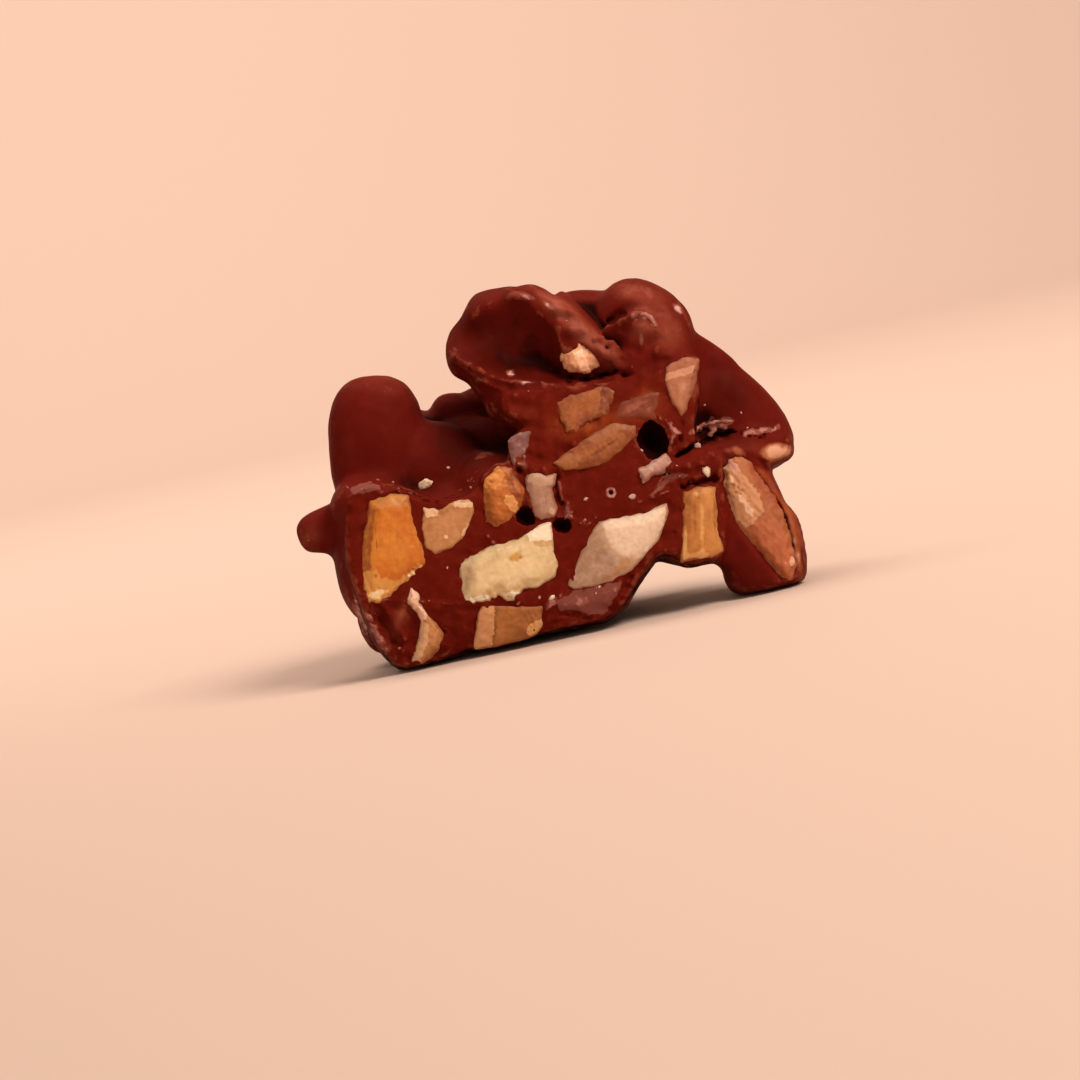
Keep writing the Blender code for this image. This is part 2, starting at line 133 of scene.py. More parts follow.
# ----------------------------------------------------------------------------
# Fields
# ----------------------------------------------------------------------------
@dataclass(frozen=True)
class Lattice:
    """A box of evenly spaced points in the layout."""

    low: Point3
    high: Point3
    step: float

    def shape(self) -> tuple[int, int, int]:
        """How many points the box holds along u, v and w."""
        return tuple(int(round((b - a) / self.step)) + 1 for a, b in zip(self.low, self.high, strict=True))

    def axes(self) -> tuple[Array, Array, Array]:
        """u, v and w of the points, shaped to broadcast against each other."""
        lines = [a + self.step * np.arange(n) for a, n in zip(self.low, self.shape(), strict=True)]
        u, v, w = (line.astype(np.float32) for line in lines)
        return u[:, None, None], v[None, :, None], w[None, None, :]

    def window(self, low: Point3, high: Point3) -> tuple[tuple[slice, slice, slice], "Lattice"]:
        """The part of the lattice inside a smaller box.

        Args:
            low: the smaller box's lowest corner.
            high: its highest corner.

        Returns:
            The slices that pick those points out of a field, and their own lattice.
        """
        first = [max(0, int((a - b) / self.step)) for a, b in zip(low, self.low, strict=True)]
        ends = zip(high, self.low, self.shape(), strict=True)
        last = [min(n, int((a - b) / self.step) + 2) for a, b, n in ends]
        picked = tuple(slice(i, j) for i, j in zip(first, last, strict=True))
        start = [b + self.step * i for b, i in zip(self.low, first, strict=True)]
        end = [b + self.step * (j - 1) for b, j in zip(self.low, last, strict=True)]
        return picked, Lattice(tuple(start), tuple(end), self.step)

    def sample(self, values: Array, points: Array) -> Array:
        """A field's values at n by 3 points, weighted by nearness to the eight lattice points round each."""
        place = (points - np.array(self.low)) / self.step
        limit = np.array(self.shape()) - 2
        cell = np.clip(np.floor(place).astype(int), 0, limit)
        share = np.clip(place - cell, 0.0, 1.0)
        total = np.zeros(len(points))
        for corner in range(8):
            bits = np.array([corner >> 2 & 1, corner >> 1 & 1, corner & 1])
            weight = np.prod(np.where(bits, share, 1.0 - share), axis=1)
            i, j, k = (cell + bits).T
            total += weight * values[i, j, k]
        return total

    def surface(self, values: Array) -> tuple[Array, Array]:
        """The zero level of a field.

        Args:
            values: the field, negative inside, in millimetres.

        Returns:
            n by 3 layout points, and m by 4 corner numbers of its faces, which point outwards.
        """
        grid = vdb.FloatGrid(float(values.max()))
        grid.copyFromArray(np.ascontiguousarray(values, dtype=np.float32))
        points, quads = grid.convertToQuads(0.0)
        return points * self.step + np.array(self.low), quads[:, ::-1]


def read(items: bpy.types.bpy_prop_collection, name: str, width: int, kind: type = np.float32) -> Array:
    """One property of a mesh's items, as rows of that many numbers."""
    values = np.empty(len(items) * width, kind)
    items.foreach_get(name, values)
    return values.reshape(-1, width)


def level_set(points: Array, triangles: Array, lattice: Lattice, reach: float) -> Array:
    """The signed distance to a closed mesh, up to reach millimetres, over the whole lattice."""
    places = ((points - np.array(lattice.low)) / lattice.step).astype(np.float32)
    unit = vdb.createLinearTransform(voxelSize=1.0)
    grid = vdb.FloatGrid.createLevelSetFromPolygons(
        places, triangles=triangles.astype(np.uint32), transform=unit, halfWidth=reach / lattice.step
    )
    values = np.empty(lattice.shape(), np.float32)
    grid.copyToArray(values)
    return values * lattice.step


def blur(values: Array, sigma: float) -> Array:
    """The field averaged with weights exp(-d^2 / 2 sigma^2) along each axis in turn, d in lattice steps."""
    reach = max(1, int(math.ceil(2.5 * sigma)))
    weights = np.exp(-0.5 * (np.arange(-reach, reach + 1) / sigma) ** 2).astype(np.float32)
    weights /= weights.sum()
    for axis in range(values.ndim):
        room = [(reach, reach) if a == axis else (0, 0) for a in range(values.ndim)]
        padded = np.moveaxis(np.pad(values, room, mode="edge"), axis, 0)
        count = values.shape[axis]
        values = np.moveaxis(sum(weight * padded[k : k + count] for k, weight in enumerate(weights)), 0, axis)
    return values


def cloud(lattice: Lattice, size: float, seed: int) -> Array:
    """Smooth noise of about unit height: random heights on a coarse lattice, joined by cubic B-splines.

    Args:
        lattice: where the noise is wanted.
        size: the coarse lattice's spacing in millimetres, about half a swell's length.
        seed: picks the random heights.

    Returns:
        The noise over the whole lattice.
    """
    counts = [int(step_count * lattice.step / size) + 5 for step_count in lattice.shape()]
    values = np.random.default_rng(seed).normal(size=counts).astype(np.float32) * 1.6
    for axis, fine in enumerate(lattice.shape()):
        place = np.arange(fine) * lattice.step / size + 1.5
        gap = np.abs(place[:, None] - np.arange(counts[axis])[None, :])
        near = 2 / 3 - gap**2 + gap**3 / 2
        far = np.clip(2 - gap, 0, None) ** 3 / 6
        spline = np.where(gap < 1, near, far).astype(np.float32)
        values = np.moveaxis(np.tensordot(spline, values, axes=(1, axis)), 0, axis)
    return values


def ripple(u: Array, v: Array, length: float, seed: int, waves: int = 9) -> Array:
    """Noise of about unit height at any points of the face: a sum of plane waves in random directions.

    Args:
        u: where the noise is wanted, along the face.
        v: the same, up the face.
        length: the waves' mean length in millimetres.
        seed: picks their directions, lengths and phases.
        waves: how many are summed.

    Returns:
        sqrt(2 / waves) times the sum of sin(2 pi (u cos a + v sin a) / length + phase).
    """
    dice = np.random.default_rng(seed)
    total = np.zeros(np.broadcast(u, v).shape, np.float32)
    for _ in range(waves):
        angle, phase = dice.uniform(0.0, 2.0 * math.pi, 2)
        wave = length * dice.uniform(0.6, 1.5)
        total += np.sin(2.0 * math.pi * (u * math.cos(angle) + v * math.sin(angle)) / wave + phase)
    return total * math.sqrt(2.0 / waves)


def smooth_step(low: float, high: float, x: Array) -> Array:
    """0 below low, 1 above high, and 3 t^2 - 2 t^3 between them."""
    t = np.clip((x - low) / (high - low), 0.0, 1.0)
    return t * t * (3.0 - 2.0 * t)


def soft_max(a: Array, b: Array, width: float) -> Array:
    """The larger of two fields, rounded: max(a, b) + h^2 / 4 width, where h = max(width - |a - b|, 0)."""
    near = np.clip(width - np.abs(a - b), 0.0, None)
    return np.maximum(a, b) + near * near / (4.0 * width)


def soft_min(a: Array, b: Array, width: float) -> Array:
    """The smaller of two fields, with a fillet of about that width where they cross."""
    return -soft_max(-a, -b, width)


def outline_distance(u: Array, v: Array, outline: Array) -> Array:
    """The signed distance in the face to a closed outline, negative inside.

    It is the least distance to any of the outline's sides, and a point is inside where a ray along u crosses
    the outline an odd number of times.
    """
    least = np.full(np.broadcast(u, v).shape, np.inf, np.float32)
    inside = np.zeros(least.shape, bool)
    for a, b in zip(outline, np.roll(outline, -1, axis=0), strict=True):
        along = b - a
        share = np.clip(((u - a[0]) * along[0] + (v - a[1]) * along[1]) / (along @ along), 0.0, 1.0)
        least = np.minimum(least, np.hypot(u - a[0] - share * along[0], v - a[1] - share * along[1]))
        crosses = (a[1] > v) != (b[1] > v)
        slope = along[0] / along[1] if along[1] else 0.0
        inside ^= crosses & (u < a[0] + (v - a[1]) * slope)
    return np.where(inside, -least, least)


def line_distance(u: Array, v: Array, path: Array) -> tuple[Array, Array]:
    """Distance in the face to an open path, and how far along it the nearest point lies, from 0 to 1."""
    least = np.full(np.broadcast(u, v).shape, np.inf, np.float32)
    along = np.zeros(least.shape, np.float32)
    lengths = np.hypot(*np.diff(path, axis=0).T)
    starts = np.concatenate([[0.0], np.cumsum(lengths)])
    for a, b, start, length in zip(path, path[1:], starts, lengths, strict=False):
        way = (b - a) / length
        share = np.clip((u - a[0]) * way[0] + (v - a[1]) * way[1], 0.0, length)
        gap = np.hypot(u - a[0] - share * way[0], v - a[1] - share * way[1])
        nearer = gap < least
        least = np.where(nearer, gap, least)
        along = np.where(nearer, (start + share) / starts[-1], along)
    return least, along


# ----------------------------------------------------------------------------
# Almond pieces
# ----------------------------------------------------------------------------
def softened(outline: Array, passes: int = 2) -> Array:
    """The outline with its corners cut a few times, each side giving way to its points at 20% and 80%."""
    points = np.asarray(outline, float)
    for _ in range(passes):
        after = np.roll(points, -1, axis=0)
        points = np.stack([0.8 * points + 0.2 * after, 0.2 * points + 0.8 * after], axis=1).reshape(-1, 2)
    return points


@dataclass(frozen=True)
class Patch:
    """A soft-edged oval in the face, as its middle, half sizes and turn."""

    u: float
    v: float
    half_u: float
    half_v: float
    turn_deg: float = 0.0
    strength: float = 1.0

    def weight(self, u: Array, v: Array) -> Array:
        """strength times exp(-r^2), where r is 1 on the oval."""
        turn = math.radians(self.turn_deg)
        along = ((u - self.u) * math.cos(turn) + (v - self.v) * math.sin(turn)) / self.half_u
        across = ((v - self.v) * math.cos(turn) - (u - self.u) * math.sin(turn)) / self.half_v
        return self.strength * np.exp(-(along**2) - across**2)

    def spread(self, shares: Array) -> Array:
        """Takes n by 2 places, in half sizes along and across the oval, to the face."""
        turn = math.radians(self.turn_deg)
        along, across = shares[:, 0] * self.half_u, shares[:, 1] * self.half_v
        u = self.u + along * math.cos(turn) - across * math.sin(turn)
        v = self.v + along * math.sin(turn) + across * math.cos(turn)
        return np.stack([u, v], axis=1)


@dataclass(frozen=True)
class Area:
    """A part of the face with corners, a ragged edge and a nearly sharp change of colour."""

    outline: tuple[Point2, ...]
    strength: float = 1.2
    soft: float = 0.12  # how far its edge blends to either side

    def distance(self, u: Array, v: Array) -> Array:
        """Distance in the face to its ragged outline, negative inside."""
        return outline_distance(u, v, np.array(self.outline)) + 0.05 * ripple(u, v, 0.6, 95, 12)

    def weight(self, u: Array, v: Array) -> Array:
        """strength inside the outline and 0 outside it."""
        return self.strength * smooth_step(self.soft, -self.soft, self.distance(u, v))


def coverage(places: tuple[Patch | Area, ...], u: Array, v: Array) -> Array:
    """The weights of some places over the face, added up."""
    return sum((place.weight(u, v) for place in places), np.zeros(np.broadcast(u, v).shape, np.float32))


@dataclass(frozen=True)
class Bevel:
    """A flat facet along one side of an almond piece."""

    toward_deg: float  # the way it faces, in the face, from u anticlockwise
    inset: float  # how far inside the rim it starts
    drop: float = 0.0  # how far behind the chocolate it ends


@dataclass(frozen=True)
class Tint:
    """A colour that shows in some places of an almond piece. Some are stains; on some pieces they are painted
    light and shade.
    """

    colour: str
    places: tuple[Patch | Area, ...]
    size: float = 1.2  # of its spots
    soft: float = 0.2
    rough: float | None = None


@dataclass(frozen=True)
class Flesh:
    """The colours and texture of one piece's almond flesh.

    Blanched flesh is cream, roasted flesh tan to amber, and flesh under smeared chocolate darker and redder.
    """

    heart: str  # colour in the middle
    rim: str  # colour towards the outline
    streak: str  # colour of the fibres and stains
    stain: float = 0.35  # share of the surface that is streaked
    grain_deg: float = 90.0  # the fibres' direction in the face
    film: float = 0.0  # smeared chocolate over it, 0 to 1
    bloom: float = 0.0  # pale dust over it, 0 to 1
    gloss: float = 0.0  # oiliness, 0 to 1
    tints: tuple[Tint, ...] = ()


@dataclass(frozen=True)
class Nut:
    """One bare piece of almond in the cut face, named as its solid is."""

    name: str
    outline: tuple[Point2, ...]
    depth: float
    flesh: Flesh
    proud: float = 0.0
    front: float | None = None  # w of its rim, where that isn't the cut face
    bevels: tuple[Bevel, ...] = ()
    relief: float = 0.03  # how far its broken surface rises and falls
    ragged: float = 0.03  # how far its outline wanders
    corner: int = 0  # how many times its corners are cut round
    crumbly: tuple[Patch, ...] = ()  # where it broke instead of being cut
    seed: int = 0

    OVERLAP = 0.16  # how far its hidden edge runs on under the chocolate
    SET_BACK = 0.07  # how far behind the chocolate that edge lies
    STAND = 0.06  # how far in front of it the rest stands
    LATTICE_MARGIN = 0.8

    def face(self, v: Array) -> Array:
        """w of the face that the piece is flush with."""
        return cut_depth(v) if self.front is None else np.full(np.shape(v), self.front, np.float32)

    def rim_distance(self, u: Array, v: Array) -> Array:
        """Distance in the face to the piece's ragged outline, negative inside."""
        wander = 0.8 * ripple(u, v, 1.3, self.seed + 40) + 0.4 * ripple(u, v, 0.5, self.seed + 41)
        torn = coverage(self.crumbly, u, v) * 0.14 * ripple(u, v, 0.8, self.seed + 42, 14)
        return outline_distance(u, v, softened(self.outline, self.corner)) + self.ragged * wander + torn

    def size(self) -> float:
        """Half the outline's least width: the largest depth inside it of the points of a coarse lattice."""
        points = np.array(self.outline)
        u, v = (np.linspace(low, high, 40) for low, high in zip(points.min(0), points.max(0), strict=True))
        return float(-outline_distance(u[:, None], v[None, :], points).min())

    def walls(self, u: Array, v: Array, w: Array) -> Array:
        """The field of its sides: the outline, narrowing with the square of depth."""
        flat_u, flat_v = u[:, :, 0], v[:, :, 0]
        inwards = np.clip((w - self.face(flat_v)[:, :, None]) / self.depth, 0.0, 1.2)
        return self.rim_distance(flat_u, flat_v)[:, :, None] + 0.45 * self.size() * inwards**2

    def field(self, u: Array, v: Array, w: Array) -> Array:
        """The piece's field: sides behind a broken front, whose edge dips just under the chocolate.

        Args:
            u, v, w: arrays that broadcast against each other, each with three axes.

        Returns:
            The field, about the distance in millimetres, negative inside.
        """
        flat_u, flat_v = u[:, :, 0], v[:, :, 0]
        within = self.OVERLAP - self.rim_distance(flat_u, flat_v)
        edge = smooth_step(0.0, 2.0 * self.OVERLAP, within) * (self.SET_BACK + self.STAND) - self.SET_BACK
        dome = smooth_step(0.2, 0.2 + 0.4 * self.size(), within) * self.proud
        rough = 0.6 * ripple(flat_u, flat_v, 1.9, self.seed + 50)
        rough = rough + 0.4 * ripple(flat_u, flat_v, 0.7, self.seed + 51)
        broken = np.abs(ripple(flat_u, flat_v, 0.9, self.seed + 52, 14)) - 0.7
        inner = smooth_step(0.1, 0.6, within)
        rough = self.relief * rough + 0.14 * coverage(self.crumbly, flat_u, flat_v) * broken
        front = self.face(flat_v) - edge - dome + inner * rough
        body = soft_max(self.walls(u, v, w) - self.OVERLAP, front[:, :, None] - w, 0.1)
        points = np.array(self.outline)
        for bevel in self.bevels:
            toward = math.radians(bevel.toward_deg)
            way = np.array([math.cos(toward), math.sin(toward)])
            start = (points @ way).max() - bevel.inset
            past = (flat_u * way[0] + flat_v * way[1] - start) / bevel.inset
            fall = self.proud + bevel.drop
            slant = self.face(flat_v) - self.STAND - self.proud + fall * past + 0.5 * rough
            body = soft_max(body, (slant[:, :, None] - w) / math.hypot(1.0, fall / bevel.inset), 0.1)
        return soft_max(body, w - (self.face(flat_v)[:, :, None] + self.depth), 0.8)

    def pocket(self, u: Array, v: Array, w: Array) -> Array:
        """The field of the hole in the chocolate: its sides, open in front."""
        return soft_max(self.walls(u, v, w), w - (self.face(v[:, :, 0])[:, :, None] + self.depth), 0.8)

    def lattice(self, step: float) -> Lattice:
        """The lattice that holds the piece with some room round it."""
        points = np.array(self.outline)
        face = self.face(points[:, 1].astype(np.float32))
        low = (*(points.min(0) - self.LATTICE_MARGIN), face.min() - self.proud - self.LATTICE_MARGIN)
        high = (*(points.max(0) + self.LATTICE_MARGIN), face.max() + self.depth + self.LATTICE_MARGIN)
        return Lattice(low, high, step)


NUTS = (
    Nut("almond_amber", (
        (-18.2, 7.5), (-16.8, 7.6), (-15.2, 9.0), (-13.6, 10.2), (-12.6, 11.4), (-12.7, 12.4),
        (-13.9, 16.6), (-14.3, 18.1), (-16.0, 18.2), (-17.9, 17.5), (-18.5, 14.4), (-18.9, 11.0)
    ), 6.0, Flesh("#C87018", "#B25916", "#DC9433", 0.45, 84, gloss=0.4, tints=(
        Tint("#8A4118", (Area((
            (-18.3, 17.4), (-17.4, 16.7), (-17.7, 13.4), (-17.9, 10.6), (-19.2, 10.4), (-19.0, 14)
        ), 1.0, 0.3),), 1.2, 0.25),
        Tint("#AE6E36", (Area((
            (-18.0, 17.6), (-16.0, 18.4), (-14.1, 18.4), (-13.8, 17.2), (-15.9, 16.9), (-17.5, 16.8)
        )),), 0.8, 0.15),
        Tint("#84421A", (
            Patch(-17.35, 13.8, 0.1, 2.6, 5, 0.8), Patch(-16.4, 14.6, 0.08, 1.8, 3, 0.6)
        ), 0.8, 0.14),
        Tint("#CE924B", (Area((
            (-18.8, 10.5), (-17.4, 10.8), (-16.8, 10.0), (-15.4, 9.7), (-14.2, 10.5), (-12.8, 11.2),
            (-12.4, 10.4), (-15.0, 8.4), (-16.8, 7.2), (-18.8, 7.2)
        ), 1.0, 0.3),), 0.8, 0.2),
        Tint("#ECD3A2", (
            Patch(-17.2, 8.3, 1.2, 0.6, 20, 1.0), Patch(-13.6, 10.4, 1.2, 0.35, 40, 1.0)
        ), 0.4, 0.08),
        Tint("#A0571A", (Patch(-17.4, 10.1, 0.25, 0.35, 0, 1.2),), 0.4, 0.1)
    )), proud=0.5, bevels=(Bevel(97, 1.2), Bevel(180, 1.3, 0.2), Bevel(-60, 2.6)),
        crumbly=(Patch(-17.2, 8.3, 1.5, 0.9, 20), Patch(-13.6, 10.5, 1.6, 0.6, 40)), seed=1
    ),
    Nut("almond_tan", (
        (-11.5, 12.4), (-9.7, 13.1), (-8.7, 14.2), (-7.9, 15.7), (-7.6, 17.6), (-9.2, 17.5),
        (-10.6, 17.0), (-11.1, 16.7), (-12.6, 16.9), (-12.6, 16.1), (-12.8, 14.7), (-12.3, 12.9)
    ), 4.0, Flesh("#C28454", "#AB703F", "#D69F70", 0.35, 30, tints=(
        Tint("#E2B991", (
            Area(((-12.8, 17.1), (-11.1, 17.0), (-11.1, 16.2), (-12.4, 16.0))),
            Area(((-9.8, 17.7), (-7.4, 17.8), (-7.7, 17.0), (-9.5, 16.9))),
            Patch(-10.4, 14.0, 0.3, 0.25, 0, 1.1), Patch(-8.5, 14.6, 0.3, 1.6, -25, 0.8)
        ), 0.4, 0.1),
        Tint("#996132", (Area((
            (-11.4, 16.7), (-9.6, 17.2), (-9.4, 16.7), (-11.0, 16.1)
        ), 0.9, 0.2),), 0.6, 0.2)
    )), crumbly=(Patch(-11.6, 16.7, 1.2, 0.4, 0, 0.6), Patch(-10.4, 13.9, 0.4, 0.3, 0, 0.8)), seed=2),
    Nut("almond_gold", (
        (-6.2, 15.6), (-5.2, 15.1), (-4.3, 15.6), (-3.4, 16.6), (-2.6, 17.8), (-2.5, 18.5), (-3.2, 19.4),
        (-4.0, 20.7), (-5.1, 21.0), (-6.4, 19.9), (-6.6, 17.4)
    ), 4.5, Flesh("#AF5E1B", "#964915", "#C9813A", 0.5, 100, gloss=0.3, tints=(
        # Painted light: the lighter top left, where light falls on its facets.
        Tint("#CD833C", (Area((
            (-6.6, 20.0), (-5.2, 21.2), (-4.4, 20.2), (-5.4, 18.7), (-6.6, 18.9)
        ), 1.1, 0.2),), 0.8, 0.15),
        # Darker brown on the right and lower left: partly the flesh's colour, partly painted shade on facets
        # turned from the light.
        Tint("#8B4115", (
            Area(((-4.5, 20.6), (-3.8, 20.8), (-2.2, 18.2), (-2.9, 17.1), (-3.7, 18.0), (-4.3, 19.2))),
            Area(((-6.8, 17.4), (-6.0, 16.8), (-5.0, 15.8), (-5.2, 15.0), (-6.4, 15.4)), 0.9, 0.3)
        ), 0.8, 0.15),
        # Painted highlight on a lit facet.
        Tint("#DA9C5F", (Area((
            (-4.4, 18.15), (-3.65, 18.15), (-3.1, 17.1), (-3.5, 16.3), (-4.2, 16.9), (-4.6, 17.6)
        )),), 0.5, 0.1)
    )), proud=0.7, bevels=(Bevel(60, 2.8), Bevel(-40, 1.8), Bevel(180, 1.2)), relief=0.14, ragged=0.06,
        crumbly=(Patch(-3.6, 17.4, 1.0, 1.0, 0, 0.6), Patch(-5.6, 19.6, 1.2, 1.2, 0, 0.4)), seed=3
    ),
    Nut("almond_pale", (
        (-1.4, 16.1), (-0.9, 15.9), (0.4, 16.1), (0.6, 17.0), (0.0, 19.0), (0.4, 19.3), (0.5, 20.2),
        (-0.4, 20.1), (-0.9, 20.4), (-2.0, 20.7), (-2.3, 19.7), (-2.1, 17.8)
    ), 3.5, Flesh("#A57960", "#936754", "#BB9075", 0.4, 80, bloom=0.2, tints=(
        Tint("#B99175", (
            Area(((-2.4, 20.8), (0.6, 20.4), (0.3, 19.0), (-2.2, 19.2)), 0.9, 0.3),
            Patch(-0.9, 17.6, 0.2, 1.6, 8, 0.8)
        ), 0.6),
        Tint("#CEAC90", (
            Patch(0.2, 16.6, 0.4, 0.5, 0, 0.9), Patch(0.1, 20.1, 0.6, 0.15, -10, 1.0)
        ), 0.4, 0.1),
        Tint("#875C48", (Patch(-2.0, 18.2, 0.25, 1.6, 10, 0.9), Patch(-0.4, 17.6, 0.1, 1.6, 6, 0.8)), 0.8)
    )), proud=0.2, bevels=(Bevel(20, 1.0), Bevel(200, 0.8)), seed=4),
    Nut("almond_ivory", (
        (-8.6, 7.7), (-7.7, 7.4), (-6.2, 7.7), (-5.2, 8.4), (-4.6, 7.9), (-3.6, 7.8), (-2.6, 8.9),
        (-1.2, 9.1), (0.4, 10.1), (0.8, 11.2), (0.3, 12.6), (0.0, 15.4), (-2.1, 14.7), (-3.2, 13.7),
        (-5.4, 13.3), (-6.8, 12.5), (-9.0, 11.4), (-8.8, 9.6)
    ), 6.5, Flesh("#E0C191", "#C09F70", "#EBD3A8", 0.4, 20, tints=(
        Tint("#A4845F", (Area((
            (-9.3, 12.2), (-7.3, 12.6), (-7.4, 9.6), (-7.7, 7.2), (-9.3, 7.2)
        ), 1.0, 0.9),), 1.2, 0.3),
        Tint("#BA8D50", (Area((
            (-2.1, 13.6), (-0.9, 13.8), (0.3, 13.7), (0.4, 13.1), (-1.2, 13.0)
        ), 0.9, 0.15),), 0.5, 0.2),
        Tint("#EDD7BD", (
            Area(((-1.95, 13.5), (-2.4, 14.5), (-2.2, 15.0), (0.2, 15.7), (0.3, 13.65), (-0.9, 13.7))),
            Patch(-4.6, 12.9, 1.6, 0.3, 14, 0.7)
        ), 0.8, 0.1),
        Tint("#C99442", (Patch(-3.4, 12.0, 0.85, 0.5, 24, 1.2),), 0.5, 0.2),
        Tint("#AF7724", (Patch(-3.0, 11.9, 0.3, 0.2, 24, 0.9),), 0.4, 0.2),
        Tint("#EDDCC6", (
            Patch(-7.0, 7.9, 1.6, 0.4, 8, 1.0), Patch(-3.6, 8.3, 1.2, 0.35, 0, 0.9)
        ), 0.3, 0.1)
    )), proud=0.35, bevels=(Bevel(-5, 1.4), Bevel(195, 1.6)), relief=0.02, ragged=0.035, crumbly=(
        Patch(-7.0, 7.8, 1.8, 0.5), Patch(-3.3, 12.0, 0.9, 0.6, 30, 0.7), Patch(-3.8, 8.2, 1.4, 0.5)
    ), seed=5),
    Nut("almond_white", (
        (1.9, 9.2), (2.4, 8.9), (4.5, 9.2), (6.3, 9.7), (8.1, 10.8), (9.5, 12.3), (10.7, 13.7),
        (11.4, 15.2), (11.7, 16.5), (11.6, 17.2), (9.2, 16.3), (6.0, 15.8), (5.0, 15.4), (4.0, 14.1),
        (2.7, 11.3)
    ), 6.5, Flesh("#C29D7D", "#AB8160", "#D0B197", 0.25, 35, tints=(
        # Painted shade on the lower left, whose facet turns away from the light.
        Tint("#906751", (Area((
            (3.4, 13.8), (4.9, 14.6), (5.8, 12.4), (7.2, 11.0), (7.0, 9.4), (2.4, 8.4), (1.4, 9.2)
        ), 0.8, 0.7),), 2.4, 0.4),
        # Deeper painted shade within it.
        Tint("#79523D", (Area((
            (4.4, 13.2), (6.0, 13.0), (7.4, 11.6), (6.6, 10.4), (4.8, 11.2)
        ), 0.6, 0.7),), 2.0, 0.4),
        # Painted light on the upper right, which faces the light.
        Tint("#E6CAB0", (Area((
            (5.0, 15.8), (9.2, 16.6), (12.0, 17.6), (11.4, 15.0), (9.8, 12.6), (8.2, 11.6), (6.2, 12.8)
        ), 1.0, 0.7),), 1.6, 0.3),
        Tint("#B37C4B", (Patch(7.2, 11.0, 2.8, 0.5, 42, 0.9),), 1.4, 0.3)
    )), proud=0.5, bevels=(Bevel(205, 6.4, 0.2), Bevel(-40, 1.4)), relief=0.015, ragged=0.02, seed=6),
    Nut("almond_ochre", (
        (13.2, 11.6), (14.8, 11.9), (16.2, 12.0), (17.2, 12.7), (16.8, 15.0), (16.5, 18.9), (14.8, 18.9),
        (13.4, 18.4), (13.4, 15.2)
    ), 5.0, Flesh("#B9732C", "#A05A25", "#CF914D", 0.55, 90, gloss=0.25, tints=(
        # Pale fibres and edges; the spot at the top is a painted highlight.
        Tint("#D8A464", (
            Patch(15.2, 14.6, 0.35, 3.4, 0, 0.8), Patch(13.5, 13.4, 0.3, 2.0, 0, 0.9),
            Patch(15.0, 12.2, 1.8, 0.4, 4, 0.9), Patch(14.6, 18.3, 0.4, 0.4, 0, 0.9)
        ), 0.8, 0.2),
        Tint("#8C511E", (
            Patch(14.5, 16.4, 0.25, 2.6, 0, 0.9), Patch(16.5, 16.4, 0.25, 2.6, 0, 0.9),
            Patch(13.9, 17.6, 0.3, 1.0, 0, 0.8)
        ), 0.8, 0.2)
    )), proud=0.2, bevels=(Bevel(4, 1.3),), seed=7),
    Nut("almond_lens", (
        (0.5, 21.4), (1.5, 20.8), (3.3, 20.9), (5.5, 21.5), (7.3, 22.9), (8.5, 24.2), (8.5, 25.1),
        (6.4, 25.4), (4.6, 24.4), (2.4, 22.9)
    ), 4.0, Flesh("#944D1C", "#763217", "#B27130", 0.5, 35, gloss=0.2, tints=(
        Tint("#975934", (
            Area(((0.2, 21.4), (1.6, 22.5), (3.3, 22.3), (2.9, 20.6), (1.2, 20.6)), 0.9, 0.4),
            Area(((3.6, 23.8), (6.0, 25.6), (8.6, 25.3), (6.8, 24.5), (4.6, 23.2)), 0.9, 0.2)
        ), 0.8, 0.2),
        Tint("#6F260C", (
            Patch(5.4, 22.9, 2.4, 0.16, 35, 1.1), Patch(4.2, 22.4, 1.6, 0.2, 30, 0.6)
        ), 0.8, 0.16)
    )), proud=0.15, seed=8),
    Nut("almond_honey", (
        (0.8, 27.4), (1.1, 26.0), (1.8, 24.6), (2.7, 24.6), (3.4, 25.4), (4.3, 26.0), (5.7, 26.4),
        (6.6, 28.7), (5.4, 29.0), (2.2, 28.1)
    ), 4.0, Flesh("#9E511B", "#773112", "#BF7638", 0.5, 20, gloss=0.2, tints=(
        Tint("#68260E", (Area((
            (5.1, 29.2), (6.9, 29.0), (6.1, 26.3), (4.6, 25.9), (5.0, 27.2)
        ), 1.1, 0.15),), 1.0, 0.2),
        Tint("#854119", (Area((
            (0.6, 27.6), (2.6, 28.4), (2.0, 26.4), (2.4, 24.6), (1.6, 24.4)
        ), 0.8, 0.3),), 0.8, 0.3),
        Tint("#470E03", (Patch(3.8, 25.4, 1.0, 0.25, 24, 1.1),), 0.4, 0.1)
    )), ragged=0.05, crumbly=(Patch(3.4, 25.2, 1.6, 0.5, 20, 0.7),), seed=9),
    Nut("almond_veil",
        ((6.6, 25.9), (7.6, 25.9), (8.9, 26.1), (10.6, 25.9), (10.9, 28.4), (8.6, 28.2), (7.2, 27.4)),
        2.5, Flesh("#7D371E", "#622413", "#934D30", 0.4, 30, film=0.1, tints=(
            Tint("#B26545", (
                Area((
                    (6.8, 26.3), (8.3, 27.8), (10.3, 28.8), (10.8, 28.1), (8.8, 27.0), (7.6, 26.0)
                ), 1.0, 0.15), Area(((9.0, 25.7), (9.6, 26.9), (11.0, 27.5), (11.0, 25.7)), 1.0, 0.15)
            ), 0.8, 0.15),
        )), seed=10
    ),
    Nut("almond_beige", (
        (13.2, 26.3), (13.7, 26.8), (14.5, 29.4), (14.9, 31.8), (13.4, 31.9), (11.8, 31.0), (11.7, 29.4),
        (12.4, 27.4)
    ), 4.0, Flesh("#B3724E", "#985737", "#BC7F5E", 0.35, 80, tints=(
        Tint("#9A593A", (
            Area((
                (11.5, 31.3), (13.4, 32.3), (15.1, 32.1), (14.9, 31.3), (13.2, 30.9), (11.5, 30.3)
